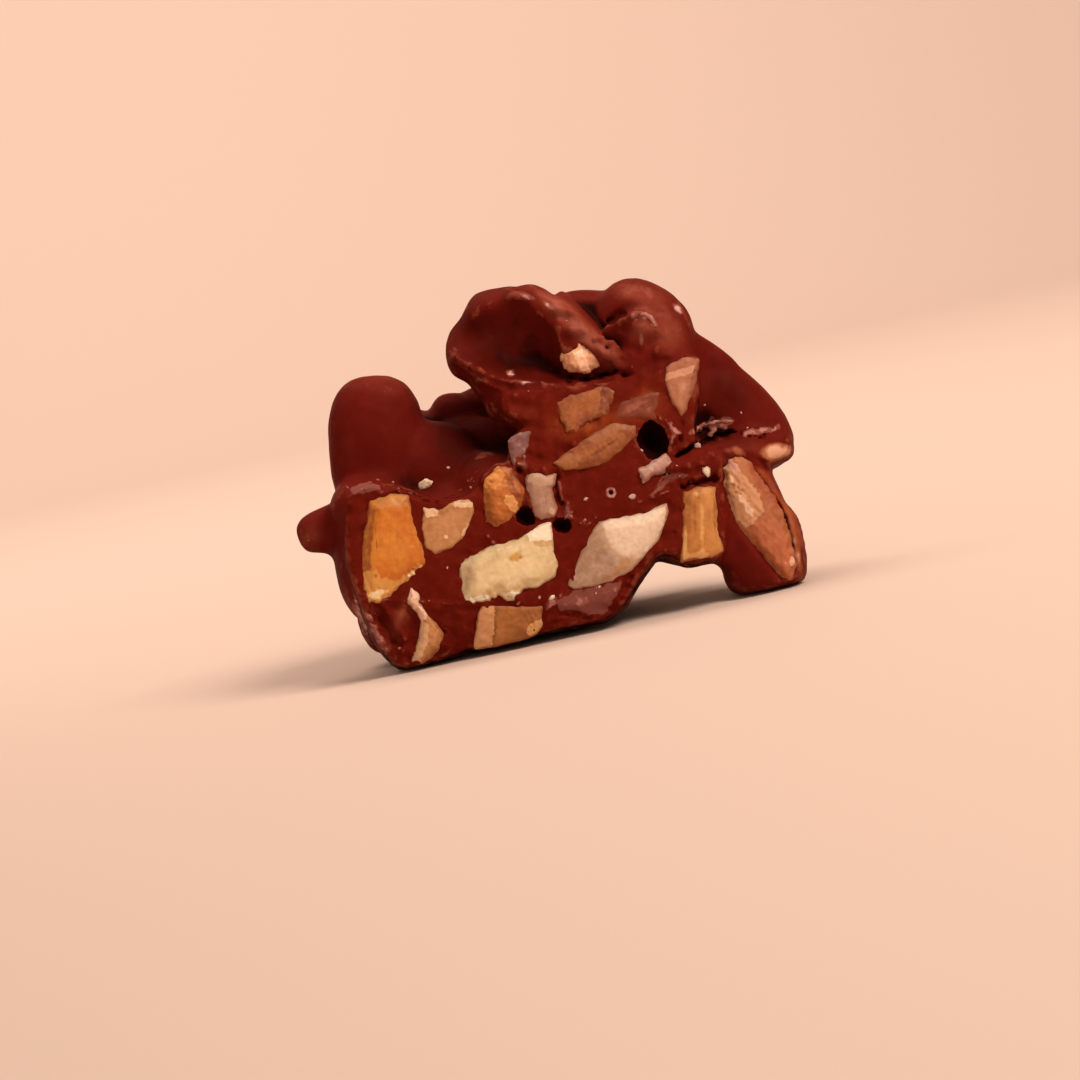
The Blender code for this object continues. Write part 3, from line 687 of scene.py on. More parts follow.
            ), 1.0, 0.12), Patch(12.6, 27.8, 0.5, 1.0, -24, 0.8)
        ), 0.9, 0.2),
        Tint("#CA8F6C", (
            Area(((11.5, 30.4), (14.6, 31.3), (14.5, 30.5), (11.6, 29.7)), 1.1, 0.12),
            Patch(13.2, 28.8, 0.6, 1.4, -10, 0.6)
        ), 0.9, 0.2),
        Tint("#7D3E28", (Area((
            (14.4, 31.0), (15.2, 31.9), (14.8, 29.2), (14.0, 26.8), (13.3, 26.0), (14.0, 28.6)
        ), 1.1, 0.12),), 0.9, 0.2)
    )), seed=11),
    Nut("almond_chip", (
        (9.3, 19.5), (10.4, 20.2), (12.1, 20.8), (12.3, 21.4), (11.5, 22.2), (10.3, 21.4), (8.9, 20.7)
    ), 1.8, Flesh("#B07F6D", "#9F6C5B", "#C89C8C", 0.4, 30, bloom=0.3), proud=0.3, ragged=0.06,
        bevels=(Bevel(-60, 0.6), Bevel(110, 0.6)), seed=12
    ),
    Nut("almond_shard", (
        (-3.6, 21.2), (-3.1, 21.8), (-2.3, 23.1), (-2.1, 24.5), (-3.2, 24.2), (-4.1, 23.6), (-3.9, 22.6)
    ), 1.6, Flesh("#865852", "#714641", "#9D6D67", 0.4, 60, bloom=0.2), proud=0.15, front=0.35,
        ragged=0.04, relief=0.015, seed=13
    ),
    Nut("almond_tip", (
        (1.2, 31.1), (2.8, 30.6), (4.0, 30.8), (5.0, 31.5), (4.4, 32.9), (3.2, 33.8), (2.0, 33.2),
        (1.3, 32.4)
    ), 4.0, Flesh("#E5A076", "#C07950", "#F8C29D", 0.5, 60, tints=(
        Tint("#B8754D", (
            Area(((3.8, 33.3), (4.7, 32.8), (5.2, 31.4), (4.3, 30.8), (3.9, 32.0)), 0.9, 0.2),
            Area(((1.0, 31.0), (1.2, 32.8), (2.0, 32.6), (2.2, 30.8)), 0.8, 0.3)
        ), 0.6, 0.2),
        # A painted highlight down the middle of the tip.
        Tint("#F2C29E", (Area((
            (2.4, 32.4), (3.1, 33.0), (3.7, 32.0), (4.1, 30.9), (3.1, 30.6), (2.7, 31.6)
        ), 1.0, 0.15),), 0.7)
    )), proud=0.6, front=2.6, bevels=(Bevel(-50, 1.8), Bevel(60, 1.6), Bevel(190, 1.3)), relief=0.1,
        ragged=0.08, corner=1, crumbly=(Patch(3.2, 32.2, 1.4, 1.4, 0, 0.5),), seed=14
    ),
    Nut("almond_sliver", (
        (-13.8, 1.5), (-12.9, 1.4), (-12.0, 2.0), (-11.2, 2.8), (-10.8, 4.3), (-11.7, 5.5), (-12.4, 6.6),
        (-13.1, 7.5), (-13.2, 8.4), (-13.9, 9.0), (-14.3, 7.7), (-13.3, 6.6), (-12.8, 5.6), (-13.1, 3.6)
    ), 3.5, Flesh("#C58952", "#A4663A", "#E6B176", 0.4, 110, tints=(
        Tint("#D8AA84", (Area((
            (-13.3, 4.6), (-12.7, 5.6), (-12.1, 5.2), (-12.2, 3.4), (-13.2, 1.2), (-14.1, 1.2),
            (-13.3, 3.4)
        ), 1.0, 0.2),), 0.6, 0.15),
        Tint("#E6BAA2", (Area((
            (-14.5, 8.2), (-13.9, 9.3), (-13.0, 8.4), (-12.9, 7.2), (-12.2, 6.2), (-12.8, 5.4),
            (-13.5, 6.6), (-14.5, 7.5)
        )),), 0.4, 0.12)
    )), proud=0.3, bevels=(Bevel(20, 1.1), Bevel(190, 0.6)),
        crumbly=(Patch(-13.5, 7.6, 0.6, 1.2, 20, 0.7),), seed=15
    ),
    Nut("almond_straw", (
        (-7.5, 2.8), (-5.5, 3.1), (-2.3, 3.9), (-1.4, 4.4), (-0.8, 5.2), (-0.9, 6.9), (-4.0, 6.9),
        (-6.7, 7.0), (-7.1, 6.2), (-7.5, 3.6)
    ), 4.5, Flesh("#A8682F", "#91552A", "#C38246", 0.5, 85, tints=(
        Tint("#804B22", (Area((
            (-5.6, 7.2), (-5.2, 7.2), (-5.3, 5.0), (-5.6, 2.8), (-6.0, 2.8), (-5.7, 5.0)
        ), 0.9, 0.15),), 0.8, 0.2),
        Tint("#D2996B", (Area((
            (-7.2, 7.2), (-5.5, 7.2), (-5.6, 5.0), (-5.85, 2.7), (-7.8, 2.6), (-7.2, 5.4)
        ), 1.3, 0.08),), 1.0, 0.1),
        Tint("#E2AD70", (
            Area(((-1.9, 5.4), (-0.7, 6.0), (-0.6, 5.0), (-1.7, 4.0), (-2.5, 4.4))),
            Patch(-5.9, 6.6, 0.8, 0.2, 0, 0.6)
        ), 0.5, 0.1)
    )), proud=0.1, crumbly=(Patch(-1.5, 5.4, 0.7, 1.2, 40),), seed=16),
    Nut("almond_skin", (
        (23.4, 9.6), (24.3, 9.8), (24.8, 11.2), (24.1, 14.2), (23.2, 16.8), (21.2, 20.2), (20.2, 21.7),
        (18.6, 22.5), (17.6, 22.0), (17.1, 20.8), (17.2, 19.2), (18.0, 16.8), (18.8, 14.9), (20.6, 12.9),
        (22.1, 11.0)
    ), 3.0, Flesh("#A05A34", "#8E4926", "#BB774C", 0.5, -62, tints=(
        Tint("#A85935", (Area((
            (19.4, 15.0), (21.6, 16.4), (23.6, 14.6), (25.2, 11.6), (24.8, 9.2), (22.6, 9.4)
        ), 1.0, 0.7),), 2.0, 0.3, 0.45),
        Tint("#904123", (Area((
            (20.4, 21.9), (22.0, 19.8), (23.6, 16.8), (22.4, 16.6), (20.6, 19.4), (19.6, 21.4)
        ), 0.9, 0.3),), 1.6, 0.3),
        Tint("#C69066", (Area((
            (16.9, 19.8), (17.3, 22.6), (18.9, 20.9), (20.1, 19.4), (21.1, 18.3), (21.5, 16.6),
            (20.6, 15.5), (19.7, 14.9), (18.5, 15.9), (17.6, 17.5)
        ), 1.1, 0.2),), 0.9, 0.2, 0.7),
        Tint("#EABF9F", (
            Patch(19.4, 17.7, 0.6, 0.9, 30, 0.9), Patch(18.3, 19.6, 0.3, 1.0, 20, 0.8),
            Patch(20.2, 16.4, 0.5, 0.8, 40, 0.8)
        ), 0.35, 0.1),
        Tint("#D19D89", (Area((
            (16.6, 22.8), (17.4, 22.9), (19.2, 20.7), (18.6, 20.2), (17.6, 21.4)
        ), 1.0),), 0.5, 0.15),
        # A painted glint of light near the lower end.
        Tint("#DEAC92", (Patch(24.3, 11.5, 0.25, 0.4, 0, 2.4),), 0.5, 0.1)
    )), proud=0.7, front=1.6, bevels=(Bevel(28, 1.8), Bevel(208, 1.6)), relief=0.06, ragged=0.08,
        crumbly=(Patch(18.9, 18.4, 1.3, 3.4, 26, 0.8),), seed=17
    ),
)  # fmt: skip


# ----------------------------------------------------------------------------
# The chocolate
# ----------------------------------------------------------------------------
@dataclass(frozen=True)
class Groove:
    """A crack, or with a depth below 0 a raised burr, along a path in the face."""

    path: tuple[Point2, ...]
    half_width: float
    depth: float
    seed: int = 0
    torn: float = 0.3  # how uneven its depth is
    wander: float = 0.12  # how far it strays from its path

    def push(self, u: Array, v: Array) -> Array:
        """How far the surface moves in: depth times exp(-(d / half width)^2), on a path that wanders."""
        stray_u = self.wander * ripple(u, v, 1.3, self.seed + 60)
        stray_v = self.wander * ripple(u, v, 1.3, self.seed + 61)
        gap, along = line_distance(u + stray_u, v + stray_v, np.array(self.path, float))
        ends = smooth_step(0.0, 0.1, along) * smooth_step(0.0, 0.1, 1.0 - along)
        uneven = np.clip(1.0 + self.torn * ripple(u, v, 1.0, self.seed + 62, 12), 0.0, 2.0)
        return self.depth * np.exp(-((gap / self.half_width) ** 2)) * uneven * (0.3 + 0.7 * ends)


@dataclass(frozen=True)
class Sheet:
    """A part of the front that is shaped anew, by the depths it has at a few places."""

    region: tuple[Point2, ...]  # its outline in the face
    depths: tuple[Point3, ...]  # u, v and w of places on it
    soft: float = 0.9  # how wide it blends into what lies round it

    def share(self, u: Array, v: Array) -> Array:
        """1 inside the region and 0 outside, with a soft edge."""
        return smooth_step(0.5 * self.soft, -0.5 * self.soft, outline_distance(u, v, softened(self.region)))

    def depth(self, u: Array, v: Array) -> Array:
        """w of the sheet: the thin plate through its places, a plane plus c r^2 log r summed over them."""
        known = np.array(self.depths)
        gap = np.hypot(known[:, None, 0] - known[None, :, 0], known[:, None, 1] - known[None, :, 1])
        count = len(known)
        plane = np.column_stack([np.ones(count), known[:, :2]])
        system = np.zeros((count + 3, count + 3))
        system[:count, :count] = gap**2 * np.log(np.maximum(gap, 1e-9))
        system[:count, count:] = plane
        system[count:, :count] = plane.T
        answer = np.linalg.solve(system, np.concatenate([known[:, 2], np.zeros(3)]))
        depth = answer[count] + answer[count + 1] * u + answer[count + 2] * v
        for (u0, v0, _), weight in zip(self.depths, answer[:count], strict=True):
            square = np.maximum((u - u0) ** 2 + (v - v0) ** 2, 1e-12)
            depth = depth + weight * 0.5 * square * np.log(square)
        return depth.astype(np.float32)


@dataclass(frozen=True)
class Roll:
    """A raised roll or torn lip of chocolate along a path of u, v and w."""

    path: tuple[Point3, ...]
    radius: float
    seed: int = 0
    torn: float = 0.3
    pale: float = 1.0  # how pale it has gone, 0 to 1
    blend: float = 0.25  # how softly it joins the rest

    def field(self, u: Array, v: Array, w: Array) -> Array:
        """The distance to the path, less a radius that varies along it and tapers at both ends."""
        points = np.array(self.path)
        least = np.full(np.broadcast(u, v, w).shape, np.inf, np.float32)
        for a, b in zip(points, points[1:], strict=False):
            way = b - a
            along = (u - a[0]) * way[0] + (v - a[1]) * way[1] + (w - a[2]) * way[2]
            share = np.clip(along / (way @ way), 0.0, 1.0)
            gap = (u - a[0] - share * way[0]) ** 2 + (v - a[1] - share * way[1]) ** 2
            gap = gap + (w - a[2] - share * way[2]) ** 2
            least = np.minimum(least, np.sqrt(gap))
        uneven = 1.0 + self.torn * ripple(u[:, :, 0], v[:, :, 0], 1.4, self.seed + 80, 12)
        return least - self.radius * np.clip(uneven, 0.2, 2.0)[:, :, None]

    def bounds(self) -> tuple[Point3, Point3]:
        """The box that holds it."""
        points = np.array(self.path)
        room = (1.2 + self.torn) * self.radius + self.blend + 0.4
        return tuple(points.min(0) - room), tuple(points.max(0) + room)


@dataclass(frozen=True)
class Smear(Area):
    """A thin patch with a sharp, ragged edge: chocolate dragged over the front, or fat bloom on a scrape."""

    rise: float = 0.1  # how far it stands out


@dataclass(frozen=True)
class AirHole:
    """A bubble that the knife opened: its mouth as corners in the face, and how deep it runs."""

    mouth: tuple[Point2, ...]
    depth: float

    def field(self, u: Array, v: Array, w: Array) -> Array:
        """The mouth carried inwards, widening just behind it and closing with the square of depth."""
        flat_u, flat_v = u[:, :, 0], v[:, :, 0]
        rim = outline_distance(flat_u, flat_v, softened(self.mouth, 1))
        rim = rim + 0.03 * ripple(flat_u, flat_v, 0.8, 70)
        inwards = np.clip((w - cut_depth(flat_v)[:, :, None]) / self.depth, 0.0, 1.3)
        size = 0.5 * min(np.ptp(np.array(self.mouth), axis=0))
        widening = 0.4 * np.sin(math.pi * np.clip(inwards * 2.0, 0.0, 1.0))
        return rim[:, :, None] + size * (inwards**2 - widening)


AIR_HOLES = (
    AirHole((
        (8.8, 23.8), (9.2, 22.9), (10.2, 22.0), (11.4, 22.1), (11.8, 23.6), (11.2, 24.9), (9.8, 25.6)
    ), 4.5),
    AirHole(((-3.4, 16.6), (-3.2, 15.6), (-2.4, 15.2), (-1.7, 15.5), (-1.7, 16.4), (-2.4, 17.0)), 2.6),
    AirHole(((0.4, 15.5), (0.6, 14.8), (1.3, 14.5), (2.0, 14.8), (2.0, 15.5), (1.3, 15.9)), 2.4),
)  # fmt: skip
# The same bubbles as the solid has them: u and v of the middle, radius and depth.
OPENED_HOLES = ((10.2, 24.0, 1.35, 4.0), (-2.5, 16.2, 0.62, 2.2), (1.3, 15.2, 0.55, 2.0))
# The middle of a small bubble whose pale ring shows.
BUBBLE = (6.1, 18.45)

# Cracks and burrs of the cut face.
FACE_GROOVES = (
    # The crack beside almond_pale.
    Groove(((0.6, 20.2), (0.5, 19.0), (1.0, 17.6), (1.4, 16.6)), 0.2, 0.9, 2),
    Groove(((0.8, 19.6), (1.3, 18.0), (1.8, 17.0), (2.0, 16.2)), 0.15, -0.26, 3, 0.6),  # its frayed lip
    Groove(((2.0, 16.2), (3.0, 15.4), (4.0, 15.3), (4.5, 16.2)), 0.14, -0.22, 23, 0.5),
    # The tear between gold, pale and shard.
    Groove(((-4.2, 22.0), (-3.2, 21.0), (-2.6, 20.4)), 0.4, 0.8, 26, 0.6),
    Groove(((-2.4, 22.4), (-2.9, 21.3), (-2.2, 20.9)), 0.2, -0.3, 27, 0.6),
    # The frayed thread below gold.
    Groove(((-6.2, 14.9), (-5.9, 13.6), (-5.7, 12.9)), 0.12, -0.16, 33, 0.6),
    Groove(((13.0, 19.0), (14.8, 19.5), (16.8, 19.9)), 0.26, 1.4, 5, 0.15),  # the slot above almond_ochre
    Groove(((12.2, 20.9), (14.4, 21.3), (16.8, 22.2)), 0.5, -0.5, 28, 0.2),  # the tongue over it
    # The channel left of the crest.
    Groove(((-17.6, 7.4), (-16.4, 5.2), (-15.3, 3.2)), 0.5, 0.8, 6, 0.2, 0.05),
    Groove(((-18.6, 6.6), (-17.4, 4.4), (-16.6, 2.4)), 0.3, -0.4, 29, 0.6),
    Groove(((-13.4, 8.2), (-13.9, 6.6), (-13.4, 4.6)), 0.3, 0.25, 34, 0.3, 0.05),
    # The torn edge of the hole.
    Groove(((11.9, 22.6), (12.5, 24.2), (11.8, 25.6), (10.8, 26.2)), 0.2, -0.24, 7, 0.8),
    Groove(((12.3, 22.4), (13.0, 23.6), (13.2, 25.6)), 0.22, 0.5, 30, 0.3),
    Groove(((-0.4, 6.6), (0.4, 7.6), (1.3, 8.3)), 0.18, -0.3, 8, 0.7),  # the frayed edge left of the smear
    Groove(((0.8, 6.2), (2.4, 6.3), (3.8, 5.8), (5.6, 5.9)), 0.2, 0.3, 9, 0.3),  # its lower edge
    Groove(((6.0, 5.8), (6.9, 7.8), (8.6, 10.4)), 0.5, 0.7, 31, 0.2),
    Groove(((9.0, 17.6), (11.2, 18.4), (12.4, 18.6)), 0.14, -0.16, 32, 0.8),
)  # fmt: skip
# Crevices of the parts in front that aren't cut.
FRONT_GROOVES = (
    # Under the wing.
    Groove((
        (12.2, 21.8), (13.9, 22.8), (15.4, 23.5), (17.2, 24.3), (19.2, 24.7)
    ), 0.3, 1.5, 11, 0.1, 0.05),
    Groove(((19.0, 24.3), (20.6, 24.1), (22.4, 24.4)), 0.2, 0.6, 33, 0.2),
    # The fin's crevice.
    Groove(((22.6, 18.0), (23.6, 16.0), (24.2, 13.8), (24.5, 12.0)), 0.22, 0.7, 17, 0.12, 0.05),
    # The dark gap under almond_tip.
    Groove(((1.4, 30.0), (3.6, 29.9), (5.4, 30.3), (7.0, 31.0)), 0.34, 1.2, 19, 0.2),
    Groove(((5.6, 35.7), (6.8, 36.3), (7.8, 36.7)), 0.35, 0.4, 20, 0.1, 0.05),  # behind the knob
)  # fmt: skip
# Rolls and torn lips that stand on the front.
ROLLS = (
    Roll(((13.8, 24.4, 2.0), (15.2, 25.2, 2.8), (16.6, 25.6, 3.3), (18.4, 25.7, 3.5)), 0.22, 1, 0.2, 0.2),
    # The thin line right of it.
    Roll(((19.4, 24.5, 3.2), (21.2, 24.8, 3.8), (23.2, 25.2, 4.8)), 0.12, 3, 0.3, 0.3),
    # The tongue.
    Roll(((18.2, 22.6, 1.5), (16.4, 22.2, 0.6), (14.2, 21.4, 0.2), (12.0, 20.8, 0.0)), 0.5, 4, 0.15, 0.3),
    Roll((
        (10.4, 18.7, 0.0), (11.3, 20.0, 0.0), (12.8, 20.3, 0.0), (14.2, 20.0, 0.1), (15.6, 20.1, 0.2)
    ), 0.1, 5, 0.4, 0.7),
    # The ledge above the skin slab.
    Roll(((18.2, 22.9, 1.6), (20.2, 22.5, 1.7), (22.0, 21.8, 2.2)), 0.3, 6, 0.15, 0.2),
    # The torn end of the ridge.
    Roll(((5.0, 33.9, 2.4), (6.0, 33.3, 2.1), (6.8, 32.4, 2.2)), 0.5, 7, 0.3, 0.4, 0.5),
    Roll(((5.4, 32.6, 2.1), (6.6, 31.9, 2.0), (7.0, 31.3, 2.2)), 0.5, 8, 0.2, 0.3, 0.5),
    # The knob's rim.
    Roll(((8.4, 36.2, 1.3), (9.3, 36.45, 1.1), (10.1, 36.1, 1.1), (10.6, 35.2, 1.3)), 0.26, 12, 0.4, 1.2),
    Roll(((5.6, 34.7, 3.6), (7.0, 35.5, 2.6), (8.4, 36.2, 1.6)), 0.4, 13, 0.15, 0.3, 0.4),
    Roll(((-20.2, 18.0, 0.5), (-18.4, 18.9, 0.2), (-16.9, 18.5, 0.1)), 0.16, 9, 0.4, 0.4),
    Roll((
        (-16.9, 18.4, 0.1), (-14.8, 18.9, 0.1), (-13.7, 18.6, 0.1), (-12.9, 17.9, 0.1),
        (-11.2, 17.7, 0.1), (-9.7, 18.2, 0.1), (-8.4, 19.1, 0.1), (-7.4, 20.4, 0.1), (-6.2, 21.2, 0.2)
    ), 0.12, 10, 0.2, 0.35),
    # The ridge above the foot.
    Roll(((-16.8, 7.75, 0.0), (-12.4, 7.5, 0.0), (-8.6, 7.3, 0.0)), 0.09, 11, 0.2, 0.8),
    # The crest left of the sliver.
    Roll(((-16.9, 7.9, 0.1), (-15.7, 5.7, 0.7), (-14.6, 3.8, 1.3)), 0.22, 14, 0.2, 0.4),
)  # fmt: skip
# Pale scrapes on the front, and the slab of chocolate dragged down under almond_white.
SMEARS = (
    Smear((
        (13.7, 24.3), (14.5, 25.0), (15.4, 25.6), (16.1, 25.8), (16.3, 26.3), (16.7, 26.2), (16.9, 25.9),
        (17.6, 26.2), (18.2, 26.2), (18.6, 25.8), (18.5, 25.4), (17.9, 25.3), (18.0, 25.0), (17.6, 24.9),
        (17.0, 25.1), (16.8, 24.8), (16.5, 24.3), (16.2, 24.1), (16.0, 24.4), (16.2, 24.8), (16.1, 25.2),
        (15.4, 24.9), (14.8, 24.5), (13.9, 24.1)
    ), 1.15, 0.14, 0.1),
    Smear((
        (19.3, 24.5), (20.2, 24.9), (21.0, 24.9), (21.6, 25.2), (22.4, 25.1), (23.3, 25.5), (23.4, 25.0),
        (22.4, 24.5), (21.7, 24.6), (21.0, 24.2), (20.4, 24.3), (19.5, 24.1)
    ), 1.1, 0.1, 0.06),
    Smear((
        (11.9, 25.7), (12.2, 25.6), (12.5, 25.0), (12.9, 24.8), (13.4, 24.2), (12.6, 24.3), (12.1, 24.5),
        (11.8, 24.9)
    ), 1.1, 0.1, 0.05),
    Smear((
        (9.2, 35.9), (8.9, 36.5), (9.6, 36.6), (10.3, 36.2), (10.7, 35.4), (10.7, 34.9), (10.3, 35.3),
        (9.9, 35.9)
    ), 1.7, 0.1, 0.05),
    Smear((
        (0.5, 7.6), (1.2, 8.1), (1.8, 8.1), (2.1, 8.7), (3.4, 8.9), (7.5, 9.8), (6.9, 8.5), (6.0, 7.0),
        (5.5, 6.2), (3.8, 6.1), (2.6, 6.6), (0.9, 6.5)
    ), 0.78, 0.2, 0.12),
    Smear((
        (-20.2, 18.9), (-19.2, 19.5), (-18.0, 19.6), (-16.9, 19.2), (-16.8, 18.6), (-18.0, 18.5),
        (-19.6, 18.2)
    ), 0.9, 0.3, 0.05),
    Smear((
        (9.9, 18.1), (10.5, 18.8), (11.4, 19.9), (12.3, 20.4), (13.6, 20.3), (14.6, 20.0), (13.5, 19.9),
        (12.3, 19.8), (11.7, 19.3), (11.0, 18.6), (10.2, 17.9)
    ), 0.9, 0.2, 0.04),
)  # fmt: skip
# The parts in front that the solid leaves plain: the top block with its ridge, and the knob beside it.
SHEETS = (
    Sheet((
        (-10.6, 33.0), (-10.6, 40.0), (0.6, 40.6), (2.4, 38.0), (4.2, 36.3), (5.8, 34.8), (6.6, 33.4),
        (7.6, 31.2), (6.8, 29.7), (4.0, 29.3), (1.0, 29.1), (-3.0, 28.8), (-6.0, 29.2), (-8.8, 30.8)
    ), (
        (-9.6, 35.5, 6.2), (-9.0, 37.5, 6.2), (-7.0, 38.6, 5.8), (-5.0, 39.0, 5.2), (-8.0, 36.5, 4.6),
        (-6.0, 37.6, 4.0), (-4.5, 38.2, 3.6), (-3.9, 38.8, 3.1), (-2.4, 38.2, 2.4), (-0.7, 37.2, 1.9),
        (0.4, 36.4, 1.6), (1.0, 35.6, 1.4), (1.2, 34.6, 1.5), (-3.2, 37.2, 4.0), (-1.6, 36.3, 3.5),
        (-0.4, 35.4, 3.2), (0.2, 34.4, 3.1), (-7.0, 35.0, 4.8), (-5.0, 36.0, 4.8), (-4.0, 34.6, 5.2),
        (-2.2, 34.4, 4.9), (-2.6, 33.0, 5.4), (-1.0, 33.4, 4.8), (-5.5, 33.4, 5.2), (0.0, 33.0, 4.2),
        (-4.0, 31.4, 4.8), (-2.0, 31.4, 5.2), (0.0, 31.4, 5.2), (1.0, 30.9, 4.8), (-6.0, 32.2, 4.4),
        (-8.4, 32.6, 3.8), (-7.6, 31.6, 2.6), (-6.4, 30.8, 2.2), (-5.0, 30.0, 1.9), (-3.2, 29.8, 1.8),
        (-1.2, 29.6, 1.7), (1.0, 29.3, 1.6), (2.2, 30.0, 3.4), (4.0, 30.1, 3.2), (5.6, 30.6, 3.0),
        (6.6, 31.1, 2.6), (1.4, 32.0, 2.7), (3.0, 31.6, 2.5), (3.0, 33.2, 2.2), (4.6, 32.4, 2.2),
        (2.0, 36.6, 2.1), (2.6, 35.6, 1.7), (3.4, 34.8, 1.8), (1.4, 37.4, 2.8), (0.2, 38.2, 3.2),
        (-1.2, 39.0, 3.8), (4.4, 33.9, 2.0), (5.2, 33.2, 2.2), (3.6, 36.2, 3.6), (5.0, 34.9, 3.8),
        (5.9, 32.6, 2.4), (6.6, 33.4, 4.4), (3.6, 29.3, 1.5), (6.8, 29.8, 1.6)
    )),
    Sheet((
        (7.2, 30.6), (6.2, 33.4), (5.4, 34.6), (6.2, 36.4), (8.0, 37.8), (10.4, 37.8), (12.2, 36.2),
        (13.0, 33.4), (12.0, 31.6), (9.6, 30.4)
    ), (
        (9.2, 36.1, 0.9), (9.9, 35.3, 0.9), (8.6, 35.9, 1.2), (8.2, 35.7, 1.5), (7.0, 35.1, 2.4),
        (6.0, 34.4, 3.2), (5.8, 35.4, 4.6), (7.0, 36.2, 3.9), (8.3, 36.9, 3.1), (9.4, 37.1, 2.8),
        (10.4, 36.6, 2.7), (11.2, 35.4, 2.6), (11.9, 34.0, 2.6), (7.2, 34.0, 2.8), (8.2, 34.7, 1.7),
        (9.4, 34.9, 1.0), (9.9, 34.0, 1.1), (9.0, 33.4, 1.5), (10.7, 33.6, 1.6), (6.9, 32.9, 3.2),
        (8.0, 32.6, 2.1), (9.4, 32.2, 1.8), (10.8, 32.4, 1.75), (7.6, 31.4, 2.0), (9.2, 31.0, 1.6),
        (12.2, 32.6, 1.9), (12.6, 35.0, 2.9), (11.8, 36.6, 3.1), (10.2, 37.8, 3.1), (8.8, 38.0, 3.2),
        (7.2, 37.2, 3.6), (6.2, 36.2, 4.4), (6.3, 33.4, 4.2)
    )),
)  # fmt: skip
# Where the surface is crumbly.
CRUMBLY = (
    Patch(-18.9, 6.0, 1.4, 4.0, 8, 0.8), Patch(12.0, 19.6, 2.4, 1.0, 15, 0.6),
    Patch(-18.0, 18.8, 2.4, 0.8, 10, 0.5), Patch(1.6, 17.4, 0.9, 2.4, 10, 0.5),
    Patch(0.6, 37.2, 4.0, 0.9, -35, 0.4), Patch(-12.0, 4.6, 4.0, 2.4, 0, 0.2),
)  # fmt: skip
# Where fat bloom frosts the edges, and a painted highlight down the knob's flank.
FROST_AND_GLINT = (
    Patch(-2.4, 38.3, 0.9, 0.3, -20, 1.2), Patch(0.0, 37.2, 1.0, 0.24, -40, 1.2),
    Patch(1.0, 36.0, 0.5, 0.3, -30, 0.8), Patch(-4.0, 30.5, 0.45, 0.4, 0, 1.2),
    Patch(-2.4, 29.6, 1.4, 0.12, -4, 0.9), Patch(-7.2, 29.9, 0.5, 0.3, 0, 0.7),
    Patch(-9.6, 33.0, 0.6, 0.3, -30, 0.7), Patch(13.0, 36.9, 0.3, 0.7, 40, 0.9),
    # The first is a painted highlight: a thin pale streak down the knob's right flank.
    Patch(9.2, 34.0, 0.16, 0.7, 0, 1.0), Patch(-5.6, 29.4, 1.6, 0.5, -10, 0.5),
    Patch(-2.6, 29.2, 0.7, 0.7, 0, 0.5), Patch(-19.2, 6.0, 0.8, 3.6, 8, 1.0),
    Patch(-17.4, 6.4, 0.6, 1.6, 20, 0.4), Patch(12.0, 19.9, 1.8, 0.4, 18, 0.7),
    Patch(14.4, 31.9, 0.8, 0.4, 0, 0.7), Patch(1.8, 16.4, 0.5, 1.0, 10, 0.8),
    Patch(3.4, 15.4, 1.2, 0.3, 0, 0.5), Patch(0.2, 7.5, 0.9, 0.4, 40, 0.9),
    Patch(24.9, 14.0, 0.4, 2.4, 0, 0.4), Patch(12.9, 37.4, 0.9, 0.5, -50, 0.6),
    Patch(-2.6, 21.2, 0.6, 0.8, 20, 0.7), Patch(-13.0, 3.4, 3.0, 3.0, 0, 0.25),
    Patch(-6.0, 7.0, 3.0, 0.4, 0, 0.5),
)  # fmt: skip
# Where the coat is scraped dull and reddish, and where it is painted lighter to stand for the light on the
# ridge's lit flank, the humps behind the knob and the knob's flank.
SCUFFED_AND_LIT = (
    Patch(2.0, 35.6, 4.4, 0.9, -42, 1.1), Patch(0.8, 37.7, 2.4, 0.7, -30, 0.9),
    Patch(4.0, 34.4, 2.4, 0.9, -46, 0.9), Patch(6.0, 32.8, 1.0, 1.2, 0, 0.8),
    Patch(9.2, 34.9, 0.9, 1.2, 0, 0.9), Patch(10.4, 37.0, 3.6, 2.4, -40, 0.8),
    Patch(8.2, 38.8, 2.6, 1.0, -10, 0.6), Patch(12.0, 34.4, 1.4, 1.6, 0, 0.6),
    Patch(-17.0, 29.4, 3.4, 1.4, -5, 0.5), Patch(-24.2, 13.6, 1.4, 2.0, 0, 0.6),
    Patch(20.8, 23.0, 1.8, 0.6, 0, 0.5), Patch(-15.0, 5.9, 0.9, 2.4, -26, 0.8),
    Patch(17.4, 21.8, 1.4, 0.5, 10, 0.5),
)  # fmt: skip
